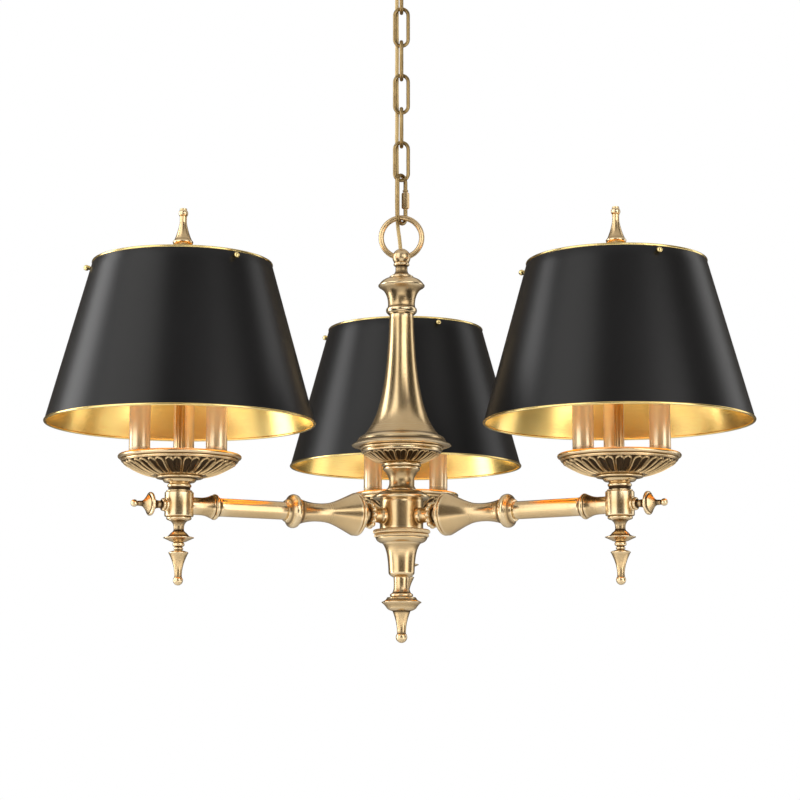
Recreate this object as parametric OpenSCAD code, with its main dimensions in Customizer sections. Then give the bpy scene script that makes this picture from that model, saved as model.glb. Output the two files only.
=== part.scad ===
// Three-branch chandelier: turned and cast brass on a chain, with tapered metal shades.
// The origin is on the ceiling, at the middle of the bracket, and +Z points up into the ceiling.

/* [Ceiling fitting] */
// Width of the canopy across its rim
canopy_d = 124; // [112:1:160]
// Depth of the canopy below the ceiling
canopy_h = 28; // [24:1:40]
// Wall of the spun canopy
canopy_wall = 1.5; // [1:0.1:2.5]
// Distance between the two ceiling screw holes
bracket_pitch = 70; // [60:1:80]
// Diameter of a ceiling screw hole
bracket_hole_d = 5; // [4:0.1:6]
// Width of the bracket strap
bracket_w = 20; // [16:1:26]
// Thickness of the bracket strap
bracket_t = 3; // [2:0.5:5]
// Metal beyond a screw hole at the strap's end
bracket_end = 9; // [7:0.5:12]
// Radius of the threaded nipple
nipple_r = 5; // [4:0.25:6]
// Height of the loop's collar
loop_collar_h = 14; // [10:0.5:20]
// Radius of the loop's collar
loop_collar_r = 10; // [9:0.25:14]
// Radius of the loop, at the middle of its wire
eye_r = 13.5; // [12:0.25:18]
// Wire diameter of the loop
eye_wire = 5; // [4:0.25:6]

/* [Chain] */
// Number of chain links
link_count = 6; // [4:1:6]
// Outside length of a link
link_len = 52; // [46:0.5:60]
// Outside width of a link
link_w = 21; // [20:0.5:26]
// Wire diameter of a link
link_wire = 4.5; // [3.5:0.25:5]
// Outside length of the quick link
quick_len = 65; // [58:0.5:72]
// Outside width of the quick link
quick_w = 21.5; // [20.5:0.5:25]
// Wire diameter of the quick link
quick_wire = 5; // [4:0.25:5.5]
// Turn of the quick link about the chain
quick_turn = 55; // [45:1:65]
// Length of the quick link's screw sleeve
sleeve_h = 19.5; // [16:0.5:24]
// Width of the sleeve across its corners
sleeve_d = 9.6; // [8.5:0.1:11]
// Width of the opening that the sleeve closes
quick_gap = 6; // [4:0.5:8]
// Outside diameter of the hanging ring
ring_d = 56; // [50:1:64]
// Wire diameter of the hanging ring
ring_wire = 6.5; // [5:0.25:6.5]

/* [Power cord] */
// Diameter of the cord
cord_d = 4.6; // [4:0.1:5]
// Height above the ring's middle where the cord's straight run starts
cord_low_h = 40; // [36:1:44]
// Length of the straight run as the route's points state it
cord_run = 280; // [250:5:300]

/* [Column] */
// Radius of the tie rod through the column
rod_r = 5; // [4:0.25:6]
// Radius of the hanger's ball
ball_r = 11; // [10:0.25:13]
// Height of the ball's centre above the vase
hanger_h = 25.6; // [23:0.2:30]
// Radius of the hanger's foot
hanger_foot_r = 14.6; // [12:0.2:18]
// Radius of the hanger's neck
hanger_neck_r = 7.3; // [6.8:0.1:8.5]
// Height of the vase
vase_h = 45; // [40:0.2:56]
// Radius of the vase's flange
vase_flange_r = 28.2; // [24:0.2:34]
// Radius of the vase's waist
vase_waist_r = 15.8; // [13:0.2:19]
// Radius of the vase's foot bead
vase_foot_r = 18.8; // [17:0.2:23]
// Height of the trumpet
trumpet_h = 165.4; // [140:0.2:200]
// Radius of the trumpet's throat
throat_r = 14.5; // [12:0.25:18]
// Radius of the trumpet where it meets its band
trumpet_mouth_r = 46; // [42:0.5:48]
// Radius of the band above the trumpet's flange
trumpet_band_r = 53.5; // [51:0.5:56]
// Radius of the trumpet's flange
trumpet_flange_r = 60; // [58:0.5:68]
// Radius of the bead under the flange
under_bead_r = 50.5; // [48:0.5:54]
// Wall of the spun trumpet
trumpet_wall = 2; // [1.5:0.1:3]
// Height of the fluted collar
collar_h = 16.4; // [14:0.2:22]
// Radius of the fluted collar at its rim
collar_rim_r = 48.5; // [44:0.5:50]
// Radius of the fluted collar at its foot
collar_foot_r = 22.5; // [21.5:0.5:28]
// Number of flutes on the collar and on each dish
flute_count = 20; // [16:1:22]
// Width of the ridge between two flutes
flute_ridge = 2.2; // [1.6:0.1:3]
// Height of the neck spool
spool_h = 32.7; // [28:0.1:44]
// Radius of the spool's waist
spool_waist_r = 14.1; // [11:0.1:17]
// Radius of the spool's foot
spool_foot_r = 18.7; // [17:0.1:22]
// Radius of the spool's upper bead
spool_bead_r = 23.7; // [22:0.1:26]

/* [Hub] */
// Radius of the hub drum
drum_r = 26; // [24:0.5:30]
// Wall of the hub drum
drum_wall = 5; // [4:0.5:7]
// Height of the drum above the arms' axis
drum_high = 20; // [18:0.5:26]
// Depth of the drum below the arms' axis
drum_low = 15; // [14:0.5:22]
// Height of the hub's cap
cap_h = 11.5; // [9:0.5:16]
// Radius of the bead round the cap
cap_bead_r = 31.6; // [29:0.2:36]
// Height of the hub's base
base_h = 16.5; // [15:0.5:22]
// Radius of the base's twisted ring
base_bead_r = 34; // [32:0.2:40]
// Radius of the base's lower edge
base_foot_r = 22.5; // [20:0.5:26]
// Height of the cup below the base
cup_h = 41.2; // [34:0.1:50]
// Radius of the cup at its lower edge
cup_foot_r = 15.5; // [13:0.25:18]
// Length of the bottom finial
bottom_finial_h = 77.6; // [66:0.2:95]
// Radius of the bottom finial's disc
bottom_disc_r = 23.8; // [20:0.2:28]
// Radius of the bottom finial's ball
bottom_ball_r = 6.8; // [5.5:0.1:8.5]

/* [Arms] */
// Distance from the hub's axis to a branch's axis
arm_reach = 288; // [276:1:330]
// Radius of the arm's inner rod
arm_rod_r = 6; // [5:0.25:7]
// Radius of the arm's tube
arm_tube_r = 10.5; // [9.5:0.25:12]
// Distance from the hub's axis to the flared sleeve
cone_start = 50; // [46:0.5:56]
// Length of the flared sleeve
cone_len = 104.7; // [95:0.1:115]
// Radius of the flared sleeve's mouth
cone_mouth_r = 25.4; // [23:0.2:29]
// Radius of the flared sleeve's throat
cone_throat_r = 10.5; // [9.5:0.1:12.5]
// Radius of the collar at the sleeve's outer end
cone_collar_r = 19.8; // [17:0.2:23]
// Radius of the arm's root neck
root_r = 9.5; // [8.5:0.25:11]
// Number of beads round an arm's root
root_bead_count = 11; // [8:1:12]
// Radius of a bead at an arm's root
root_bead_r = 3.3; // [2.5:0.1:3.6]
// Length of the socket between tube and knuckle
socket_len = 33.5; // [28:0.5:40]
// Radius of the socket's flare
socket_flare_r = 14.8; // [13:0.2:18]

/* [Branch ends] */
// Radius of the knuckle's barrel
barrel_r = 16.5; // [15:0.25:20]
// Height of the barrel above the arm's axis
barrel_high = 15; // [13.5:0.5:20]
// Depth of the barrel below the arm's axis
barrel_low = 13; // [12:0.5:18]
// Height of the neck above the barrel
barrel_neck_h = 10.6; // [9:0.2:15]
// Depth of the foot below the barrel
barrel_foot_h = 4; // [3:0.25:6]
// Radius of the side knob's disc
knob_disc_r = 13.4; // [11:0.2:16]
// Length of the side knob
knob_len = 42; // [36:0.5:52]
// Radius of the drop finial's disc
drop_disc_r = 17.4; // [15:0.2:21]
// Radius of the drop finial's spike
drop_spike_r = 11.3; // [9:0.2:14]
// Length of the drop finial
drop_h = 73.7; // [64:0.1:88]

/* [Dishes and candles] */
// Radius of a dish at its rim
dish_r = 70.2; // [68:0.2:80]
// Height of a dish
dish_h = 32; // [29:0.5:40]
// Radius of a dish's foot disc
dish_foot_r = 26.9; // [24:0.2:31]
// Height of the foot below the fluted bowl
dish_foot_h = 7.5; // [6.5:0.25:10]
// Height of the rim bead
dish_rim_h = 8; // [6:0.5:10]
// Depth of the tray inside the rim
tray_depth = 3; // [2:0.5:4]
// Radius of the circle that the candles stand on
candle_circle_r = 50; // [46:0.5:51]
// Diameter of a candle sleeve
candle_d = 24; // [22:0.5:26]
// Height of a candle sleeve
candle_h = 92; // [80:1:110]
// Wall of a candle sleeve
candle_wall = 1; // [0.8:0.1:1.6]
// Turn of the candles on the left, right and rear branches
candle_turn = [2, 2, 1]; // [-60:1:60]
// Radius of a lampholder's shell
holder_r = 10; // [9:0.1:10.4]
// Depth of a lampholder
holder_h = 38; // [30:1:45]
// Radius of a bulb's screw cap
bulb_cap_r = 6.8; // [6.5:0.1:7.2]
// Length of a bulb's screw cap
bulb_cap_h = 20; // [16:0.5:24]
// Radius of a bulb's glass
bulb_r = 17.5; // [15:0.25:18]
// Length of a bulb's glass
bulb_h = 76; // [66:1:86]

/* [Shades] */
// Radius of a shade at its lower edge
shade_bottom_r = 153.5; // [140:0.5:165]
// Radius of a shade at its upper edge
shade_top_r = 103; // [96:0.5:115]
// Height of a shade
shade_h = 184; // [170:1:200]
// Thickness of a shade's wall
shade_wall = 1.2; // [0.8:0.1:2]
// Turn of the shades on the left, right and rear branches
shade_turn = [10, -9, -6]; // [-60:1:60]
// Wire diameter of a shade's rims
rim_wire = 3; // [2.5:0.1:4]
// Height of a shade's upper edge above the arms' axis
shade_top_z = 278; // [268:1:300]
// Rise of the spider's hub above the shade's upper edge
spider_rise = 14; // [11:0.5:15]
// Diameter of a spider arm
spider_wire = 4; // [3:0.25:5]
// Depth of the spider's ring below the shade's upper edge
spider_drop = 7; // [6:0.5:10]
// Radius of the ball nuts on a shade
nut_r = 3.4; // [2.8:0.1:4.5]
// Radius of the stem that carries a shade
stem_r = 5; // [4.5:0.25:6]
// Length of a top finial
top_finial_h = 48.5; // [42:0.5:58]
// Radius of a top finial's flange
top_flange_r = 11.8; // [10:0.2:14]

/* [Fits] */
// Gap between chain links that hang in each other
link_gap = 0.4; // [0.3:0.05:0.6]
// Gap at each end of the quick link, which crosses its neighbours at a slant
slant_gap = 1.2; // [1.1:0.05:1.5]
// Radial gap of a turning fit
turn_gap = 0.08; // [0.05:0.01:0.1]
// Radial gap round a rod in its bore
bore_gap = 0.25; // [0.2:0.05:0.4]
// Gap between a turning piece and its seat
seat_gap = 0.3; // [0.2:0.05:0.4]

/* [Hidden] */
$fn = 96;
brass = [0.72, 0.55, 0.32];
dark_brass = [0.55, 0.42, 0.22];
candle_gold = [0.80, 0.55, 0.25];
shade_black = [0.07, 0.07, 0.08];
steel = [0.62, 0.62, 0.60];
glass = [0.93, 0.90, 0.80];

side = ["left", "right", "rear"];
arm_turn = [210, 330, 90];
third = [0, 120, 240];
spider_turn = [for (a = shade_turn) 180 + a];
spigot_r = 3;
spigot_h = 8;

// Levels from the ceiling down the chain, then down the column to the arms' axis
canopy_z = -canopy_h;
eye_z = canopy_z - loop_collar_h + eye_wire / 2 - eye_r;
link_half = (link_len - link_wire) / 2;
link_pitch = link_len - 2 * link_wire - link_gap;
first_link_z = eye_z - eye_r + (eye_wire + link_wire) / 2 + link_gap - link_half;
last_link_z = first_link_z - (link_count - 1) * link_pitch;
quick_half = (quick_len - quick_wire) / 2;
quick_z = last_link_z - link_half + (link_wire + quick_wire) / 2 + slant_gap - quick_half;
ring_r = (ring_d - ring_wire) / 2;
ring_z = quick_z - quick_half + (quick_wire + ring_wire) / 2 + slant_gap - ring_r;
ball_z = ring_z - ring_r;
hanger_z = ball_z - hanger_h;
vase_z = hanger_z - vase_h;
trumpet_z = vase_z - trumpet_h;
collar_z = trumpet_z - collar_h;
spool_z = collar_z - spool_h;
cap_z = spool_z - cap_h;
arm_z = cap_z - drum_high;
base_z = arm_z - drum_low - base_h;
cup_z = base_z - cup_h;
rod_end = 8;

// Stations along an arm, from the hub's axis
cone_end = cone_start + cone_len;
socket_end = arm_reach - barrel_r;
socket_start = socket_end - socket_len;

// Levels of a branch, from the arm's axis
dish_z = barrel_high + barrel_neck_h;
tray_z = dish_z + dish_h - tray_depth;
holder_z = tray_z + candle_h - holder_h;
seat_z = shade_top_z + spider_rise;
spider_hub_h = 3;
finial_z = seat_z + spider_hub_h + 2 * seat_gap;

// The cord's route: x, y and height above the ring's centre, chosen by hand
cord_route = [
    [-1.0, 4.6, -18.5], [-1.4, 5.4, -12], [-2.6, 6.4, 0], [-4.4, 6.6, 14], [-5.4, 6.4, 28],
    [-5.8, 6.0, 48], [-5.6, 6.0, 80], [-5.8, 5.8, 115], [-5.5, 5.9, 150], [-5.8, 5.8, 190],
    [-5.5, 5.9, 230], [-5.8, 5.8, 270], [-5.7, 5.9, 300]
];

function curve(a, b, c, d, n = 12) =
    [for (i = [0 : n])
        let (t = i / n, u = 1 - t)
        u * u * u * a + 3 * u * u * t * b + 3 * u * t * t * c + t * t * t * d];

// A rounded bead on a turned outline, from its foot to its top
function bead(r, z, h, rise) = [for (a = [-90 : 18 : 90]) [r + rise * cos(a), z + h / 2 * sin(a)]];

// A ball on a turned outline, from the latitude where it leaves its neck
function ball(r, z, from, to) = [for (a = [from : (to - from) / 12 : to]) [r * cos(a), z + r * sin(a)]];

module turned(outline, bore = 0) {
    first = outline[0];
    last = outline[len(outline) - 1];
    rotate_extrude() polygon(concat([[bore, first[1]]], outline, [[bore, last[1]]]));
}

// Local +Z runs outwards along an arm, from the hub's axis
module along_arm(i) {
    translate([0, 0, arm_z]) rotate([0, 0, arm_turn[i]]) rotate([0, 90, 0]) children();
}

// Local origin is on a branch's axis at the arm's level, with the axes of the whole object
module at_branch(i) {
    translate([arm_reach * cos(arm_turn[i]), arm_reach * sin(arm_turn[i]), arm_z]) children();
}

module long_link(length, width, wire) {
    bow_r = (width - wire) / 2;
    leg_h = length - width;
    for (s = [-1, 1]) {
        translate([s * bow_r, 0, -leg_h / 2]) cylinder(d = wire, h = leg_h);
        translate([0, 0, s * leg_h / 2])
            rotate([90 * s, 0, 0])
                rotate_extrude(angle = 180) translate([bow_r, 0]) circle(d = wire);
    }
}

module ceiling_bracket() {
    strap = bracket_pitch + 2 * bracket_end;
    color(steel) translate([0, 0, -bracket_t]) difference() {
        translate([-strap / 2, -bracket_w / 2, 0]) cube([strap, bracket_w, bracket_t]);
        cylinder(r = nipple_r + bore_gap, h = 3 * bracket_t, center = true);
        for (s = [-1, 1])
            translate([s * bracket_pitch / 2, 0, 0])
                cylinder(d = bracket_hole_d, h = 3 * bracket_t, center = true);
    }
}

module canopy_nipple() {
    engage = loop_collar_h / 2;
    nut_h = 4;
    color(steel) difference() {
        union() {
            translate([0, 0, canopy_z - engage]) cylinder(r = nipple_r, h = canopy_h + engage);
            translate([0, 0, -bracket_t - nut_h]) cylinder(r = nipple_r * 1.8, h = nut_h, $fn = 6);
        }
        cylinder(d = cord_d + 4 * bore_gap, h = 4 * canopy_h, center = true);
    }
}

module canopy() {
    rim_r = canopy_d / 2;
    step_h = 5;
    crown_r = loop_collar_r + 8;
    outer = concat(
        [[rim_r, 0], [rim_r, -step_h]],
        curve([rim_r - 4, -step_h], [rim_r - 8, -canopy_h * 0.7], [crown_r + 20, canopy_z],
            [crown_r, canopy_z])
    );
    inner = concat(
        [[crown_r, canopy_z + canopy_wall]],
        curve(
            [crown_r + 3, canopy_z + canopy_wall],
            [crown_r + 20, canopy_z + canopy_wall],
            [rim_r - 8 - canopy_wall, -canopy_h * 0.7 + canopy_wall],
            [rim_r - 4 - canopy_wall, -step_h + canopy_wall]
        ),
        [[rim_r - canopy_wall, -step_h + canopy_wall], [rim_r - canopy_wall, 0]]
    );
    bore = nipple_r + bore_gap;
    color(brass) rotate_extrude()
        polygon(concat(outer, [[bore, canopy_z], [bore, canopy_z + canopy_wall]], inner));
}

module canopy_loop() {
    collar_z = canopy_z - loop_collar_h;
    outline = concat(
        [[loop_collar_r - 2, collar_z], [loop_collar_r, collar_z + 2]],
        bead(loop_collar_r, collar_z + loop_collar_h * 0.55, 4, 1.5),
        [[loop_collar_r, canopy_z - 2], [loop_collar_r + 3, canopy_z]]
    );
    color(brass) difference() {
        union() {
            turned(outline);
            translate([0, 0, eye_z]) rotate([90, 0, 0])
                rotate_extrude() translate([eye_r, 0]) circle(d = eye_wire);
        }
        translate([0, 0, collar_z - 1]) cylinder(d = cord_d + 2 * seat_gap, h = 2 * loop_collar_h);
        translate([0, 0, canopy_z - loop_collar_h / 2])
            cylinder(r = nipple_r + bore_gap, h = loop_collar_h);
    }
}

// A smooth curve through the route's points, with three steps from one point to the next
function along(p, i, t) =
    let (a = p[max(i - 1, 0)], b = p[i], c = p[i + 1], d = p[min(i + 2, len(p) - 1)])
    0.5 * (2 * b + (c - a) * t + (2 * a - 5 * b + 4 * c - d) * t * t
        + (3 * b - a - 3 * c + d) * t * t * t);

function unit(v) = v / norm(v);

module power_cord() {
    sides = 8;
    steps = 3;
    top = [[0, 0, canopy_z - loop_collar_h / 2 - 1], [0, 0, canopy_z - loop_collar_h - 1]];
    bend = [[-2.4, 1.6, eye_z + eye_r - 8], [-5.4, 4.2, eye_z - eye_r + 9],
        [-5.8, 5.9, eye_z - eye_r - 2]];
    stretch = (bend[2][2] - ring_z - cord_low_h) / cord_run;
    hang = [for (p = cord_route) [p[0], p[1],
        ring_z + (p[2] < cord_low_h ? p[2] : cord_low_h + (p[2] - cord_low_h) * stretch)]];
    points = concat([for (p = hang) if (p[2] < bend[2][2] - 6) p],
        [bend[2], bend[1], bend[0], top[1], top[0]]);
    path = concat([for (i = [0 : len(points) - 2], k = [0 : steps - 1]) along(points, i, k / steps)],
        [top[0]]);
    last = len(path) - 1;
    rings = [for (i = [0 : last])
        let (
            t = unit(path[min(i + 1, last)] - path[max(i - 1, 0)]),
            u = unit(cross([0, 1, 0], t)),
            v = cross(t, u)
        )
        for (k = [0 : sides - 1])
            path[i] + cord_d / 2 * (cos(360 * k / sides) * u + sin(360 * k / sides) * v)];
    walls = [for (i = [0 : last - 1], k = [0 : sides - 1])
        let (a = i * sides + k, b = i * sides + (k + 1) % sides)
        each [[a, a + sides, b], [b, a + sides, b + sides]]];
    caps = [for (k = [1 : sides - 2]) each [[0, k, k + 1],
        [last * sides, last * sides + k + 1, last * sides + k]]];
    color([0.70, 0.55, 0.28]) polyhedron(rings, concat(walls, caps));
}

module chain_link(i) {
    color(dark_brass)
        translate([0, 0, first_link_z - (i - 1) * link_pitch])
            rotate([0, 0, (link_count - i) % 2 == 0 ? 0 : 90])
                long_link(link_len, link_w, link_wire);
}

// The screw side of the quick link, with the opening behind the sleeve
quick_leg_x = (quick_w - quick_wire) / 2;

module quick_link() {
    stop_z = sleeve_h / 2 + 1.5;
    color(dark_brass) translate([0, 0, quick_z]) rotate([0, 0, quick_turn]) difference() {
        union() {
            long_link(quick_len, quick_w, quick_wire);
            translate([quick_leg_x, 0, stop_z]) cylinder(d = quick_wire + 2, h = 2);
        }
        translate([quick_leg_x - quick_wire, -quick_wire, sleeve_h / 2 - 1.5 - quick_gap])
            cube([2 * quick_wire, 2 * quick_wire, quick_gap]);
    }
}

module quick_link_sleeve() {
    color(brass) translate([0, 0, quick_z]) rotate([0, 0, quick_turn])
        translate([quick_leg_x, 0, 0]) difference() {
        cylinder(d = sleeve_d, h = sleeve_h, center = true, $fn = 6);
        cylinder(d = quick_wire + 2 * turn_gap, h = 2 * sleeve_h, center = true);
    }
}

module hanging_ring() {
    color(brass) translate([0, 0, ring_z]) rotate([90, 0, 0])
        rotate_extrude() translate([ring_r, 0]) circle(d = ring_wire);
}

// The cord enters the ball from behind, above the ring
cord_end = cord_route[0] + [0, 0, ring_z];

module hanger_ball() {
    neck_z = ball_z - 15.5;
    bead_z = ball_z - 8.8;
    swing_gap = 0.7;
    outline = concat(
        [[hanger_foot_r, hanger_z], [hanger_foot_r, hanger_z + 2], [hanger_foot_r - 2.2, hanger_z + 2.6]],
        curve([hanger_foot_r - 2.6, hanger_z + 4], [hanger_neck_r + 1, hanger_z + 5],
            [hanger_neck_r, neck_z - 2], [hanger_neck_r, neck_z]),
        [[hanger_neck_r, bead_z - 2.4]],
        bead(hanger_neck_r + 0.6, bead_z, 4, 1.8),
        ball(ball_r, ball_z, -40, 90)
    );
    color(brass) difference() {
        turned(outline);
        translate([0, 0, hanger_z - 1]) cylinder(r = rod_r + bore_gap, h = rod_end + 1);
        translate([0, 0, ring_z]) rotate([90, 0, 0])
            rotate_extrude() translate([ring_r, 0]) circle(d = ring_wire + 2 * swing_gap);
        translate(cord_end + [0, 0, -2]) cylinder(d = cord_d + 4 * seat_gap, h = ball_r);
    }
}

module top_vase() {
    foot = vase_h * 0.106;
    waist = vase_h * 0.287;
    flange = vase_h * 0.77;
    outline = concat(
        [[vase_foot_r - 2.5, 0]],
        bead(vase_foot_r - 2.2, foot, foot * 1.5, 2.2),
        [[vase_foot_r - 2.2, foot * 1.9]],
        curve([vase_waist_r + 0.8, foot * 2], [vase_waist_r, waist], [vase_waist_r + 0.5, flange * 0.82],
            [vase_flange_r - 1.5, flange - 1.5]),
        [[vase_flange_r, flange], [vase_flange_r, flange + 1.5]],
        curve([vase_flange_r - 0.8, flange + 2], [vase_flange_r - 3.5, vase_h - 4],
            [hanger_foot_r + 6, vase_h - 0.8],
            [hanger_foot_r, vase_h])
    );
    color(brass) translate([0, 0, vase_z]) turned(outline, rod_r + bore_gap);
}

module trumpet() {
    band_z = 10;
    mouth_z = 17;
    edge_z = 5.2;
    plug_h = 20;
    flare = curve([trumpet_mouth_r, mouth_z], [throat_r + 10, 38], [throat_r + 2, 90],
        [throat_r, trumpet_h], 28);
    outer = concat(
        [[under_bead_r - 3, 0]],
        bead(under_bead_r - 1.5, 1.8, 3, 1.5),
        [
            [trumpet_flange_r - 6, edge_z - 1.8], [trumpet_flange_r - 0.8, edge_z - 0.8],
            [trumpet_flange_r, edge_z], [trumpet_flange_r - 0.8, edge_z + 0.8]
        ],
        curve([trumpet_flange_r - 1.2, edge_z + 1], [trumpet_band_r + 3, edge_z + 2.6],
            [trumpet_band_r + 0.5, band_z - 1.5],
            [trumpet_band_r, band_z], 6),
        curve([trumpet_band_r - 0.5, band_z + 1], [trumpet_band_r - 1, mouth_z - 3],
            [trumpet_mouth_r + 3, mouth_z - 1],
            [trumpet_mouth_r + 1, mouth_z - 0.5], 6),
        flare
    );
    bore = rod_r + bore_gap;
    inner_r = throat_r - trumpet_wall;
    cavity = concat(
        [[bore, -1], [under_bead_r - 4, -1], [under_bead_r - 4, band_z - trumpet_wall]],
        curve([trumpet_mouth_r - trumpet_wall, mouth_z], [inner_r + 10, 38], [inner_r + 2, 90],
            [inner_r, trumpet_h - plug_h]),
        [[bore, trumpet_h - plug_h]]
    );
    color(brass) translate([0, 0, trumpet_z]) difference() {
        turned(outer, bore);
        rotate_extrude() polygon(cavity);
    }
}

// A tapered groove cut along a bowl from foot to rim, both given as radius and height
module flute(foot, rim, depth) {
    run = unit(rim - foot);
    down = [run[1], -run[0]];
    foot_r = flute_r(foot[0]);
    rim_r = flute_r(rim[0]);
    start = foot + down * (foot_r - depth / 2);
    axis = rim + down * (rim_r - depth) - start;
    length = norm(axis);
    translate([start[0], 0, start[1]])
        rotate([0, atan2(axis[0], axis[1]), 0])
            cylinder(r1 = foot_r, r2 = rim_r, h = length);
}

// Radius of a flute's scoop at this distance from the axis, so that neighbours keep a ridge
function flute_r(r) = PI * r / flute_count - flute_ridge / 2;

module fluted_collar() {
    depth = 1.8;
    lip = 4;
    bore = rod_r + bore_gap;
    foot = [collar_foot_r + 4, 2];
    rim = [collar_rim_r - 6, collar_h - lip - 2.6];
    outer = concat(
        [[collar_foot_r - 1, 0], [collar_foot_r, 0.3], [collar_rim_r - 1.2, collar_h - lip]],
        [[collar_rim_r, collar_h - lip + 0.8], [collar_rim_r, collar_h]]
    );
    cavity = [
        [bore, collar_h + 1], [bore, 8], [collar_foot_r - 4, 8], [collar_rim_r - 9, collar_h],
            [collar_rim_r - 9, collar_h + 1]
    ];
    color(brass) translate([0, 0, collar_z]) difference() {
        turned(outer, bore);
        rotate_extrude() polygon(cavity);
        for (k = [0 : flute_count - 1])
            rotate([0, 0, 360 / flute_count * (k + 0.5)])
                flute(foot, rim, depth);
    }
}

module neck_spool() {
    bead_h = 4.3;
    waist = 10.3;
    shoulder = spool_h - 2 * bead_h;
    outline = concat(
        [[spool_foot_r, 0]],
        curve([spool_foot_r, 0.8], [spool_waist_r - 1, waist * 0.5], [spool_waist_r - 1, waist + 6],
            [spool_bead_r - 3.2, shoulder - 0.6], 16),
        bead(spool_bead_r - 2.4, shoulder + bead_h / 2, bead_h - 0.6, 1.2),
        bead(spool_bead_r - 1.4, shoulder + bead_h * 1.5, bead_h - 0.4, 1.4)
    );
    color(brass) translate([0, 0, spool_z]) turned(outline, rod_r + bore_gap);
}

module hub_cap() {
    bead_h = 4.6;
    outline = concat(
        [[drum_r, 0]],
        bead(cap_bead_r - 2.3, bead_h / 2 + 1, bead_h, 2.3),
        curve([cap_bead_r - 3.4, bead_h + 1.4], [cap_bead_r - 6, cap_h - 2],
            [spool_foot_r + 6, cap_h - 1.2],
            [spool_foot_r + 1, cap_h], 8)
    );
    color(brass) translate([0, 0, cap_z]) turned(outline, rod_r + bore_gap);
}

module hub_drum() {
    color(brass) translate([0, 0, arm_z]) difference() {
        translate([0, 0, -drum_low]) cylinder(r = drum_r, h = drum_low + drum_high);
        translate([0, 0, -drum_low - 1]) cylinder(r = drum_r - drum_wall, h = drum_low + drum_high + 2);
        for (i = [0 : 2])
            rotate([0, 0, arm_turn[i]]) rotate([0, 90, 0])
                cylinder(r = arm_rod_r + bore_gap, h = 2 * drum_r);
    }
}

module hub_base() {
    twist_h = 5;
    bead_h = 4.2;
    twist_z = base_h - 0.6 - twist_h / 2;
    bead_z = twist_z - (twist_h + bead_h) / 2 - 0.2;
    low_z = bead_z - bead_h / 2 - 0.2;
    outline = concat(
        [[base_foot_r, 0]],
        curve([base_foot_r + 1.5, 0.4], [base_bead_r - 7, 1], [base_bead_r - 3.6, low_z * 0.4],
            [base_bead_r - 3, low_z], 8),
        bead(base_bead_r - 3.4, bead_z, bead_h, 2),
        bead(base_bead_r - 2.4, twist_z, twist_h, 2.4),
        [[drum_r + 1, base_h - 0.6], [drum_r + 1, base_h]]
    );
    color(brass) translate([0, 0, base_z]) turned(outline, rod_r + bore_gap);
}

module bottom_cup() {
    foot = cup_h * 0.13;
    outline = concat(
        [[cup_foot_r - 6, 0]],
        curve([cup_foot_r - 5, 0.4], [cup_foot_r - 2, foot * 0.4], [cup_foot_r - 0.4, foot * 0.6],
            [cup_foot_r, foot], 6),
        curve([cup_foot_r + 0.1, foot + 1], [cup_foot_r + 1, cup_h * 0.5], [cup_foot_r + 2.4, cup_h * 0.8],
            [base_foot_r - 1, cup_h])
    );
    color(brass) translate([0, 0, cup_z]) turned(outline, rod_r + bore_gap);
}

module tie_rod() {
    color(steel) translate([0, 0, cup_z - rod_end])
        cylinder(r = rod_r, h = hanger_z - cup_z + 2 * rod_end - 0.5);
}

module bottom_finial() {
    top = cup_foot_r - 6.6;
    h = bottom_finial_h;
    disc = h * 0.625;
    ball_mid = bottom_ball_r;
    outline = concat(
        ball(bottom_ball_r, ball_mid, -90, 40),
        curve([5.3, ball_mid + 5.5], [5.3, h * 0.28], [7.6, h * 0.38], [10.6, disc - 11]),
        [[bottom_disc_r * 0.62, disc - 9.5]],
        curve([bottom_disc_r * 0.72, disc - 8], [bottom_disc_r * 0.82, disc - 4],
            [bottom_disc_r * 0.9, disc - 2.5],
            [bottom_disc_r, disc - 0.6], 6),
        [[bottom_disc_r, disc]],
        curve([bottom_disc_r * 0.86, disc + 1.5], [bottom_disc_r * 0.76, disc + 3],
            [bottom_disc_r * 0.76, disc + 4],
            [bottom_disc_r * 0.72, disc + 5.5], 6),
        bead(bottom_disc_r * 0.5, disc + 8, 4, 2),
        curve([bottom_disc_r * 0.48, disc + 10.5], [top + 0.2, disc + 14], [top, disc + 18],
            [top + 0.6, h])
    );
    color(brass) translate([0, 0, cup_z - h]) difference() {
        turned(outline);
        translate([0, 0, h - rod_end - 1]) cylinder(r = rod_r + bore_gap, h = 2 * rod_end);
    }
}

module arm_rods() {
    inner_end = drum_r - drum_wall - 3;
    color(steel) for (i = [0 : 2])
        along_arm(i) translate([0, 0, inner_end])
            cylinder(r = arm_rod_r, h = arm_reach - arm_rod_r - 2 - inner_end);
}

module arm_roots() {
    foot_r = root_r + 1.5;
    bead_s = cone_start - 11;
    band_r = root_r + root_bead_r * 0.8;
    band_h = root_bead_r * 1.2;
    color(brass) for (i = [0 : 2]) along_arm(i) difference() {
        union() {
            turned(concat(
                [[foot_r, drum_r - 8], [foot_r, drum_r + 2]],
                curve([foot_r - 0.4, drum_r + 2.5], [root_r, drum_r + 4], [root_r, bead_s - 6],
                    [root_r, bead_s - band_h / 2]),
                [
                    [band_r, bead_s - band_h / 2], [band_r, bead_s + band_h / 2],
                    [root_r, bead_s + band_h / 2], [root_r, cone_start]
                ]
            ));
            for (k = [0 : root_bead_count - 1])
                rotate([0, 0, 360 / root_bead_count * k])
                    translate([band_r + root_bead_r * 0.2, 0, bead_s]) sphere(r = root_bead_r, $fn = 32);
        }
        rotate([0, 90, 0]) cylinder(r = drum_r + 0.05, h = 4 * drum_r, center = true);
        cylinder(r = arm_rod_r + bore_gap, h = 2 * cone_start);
    }
}

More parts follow.
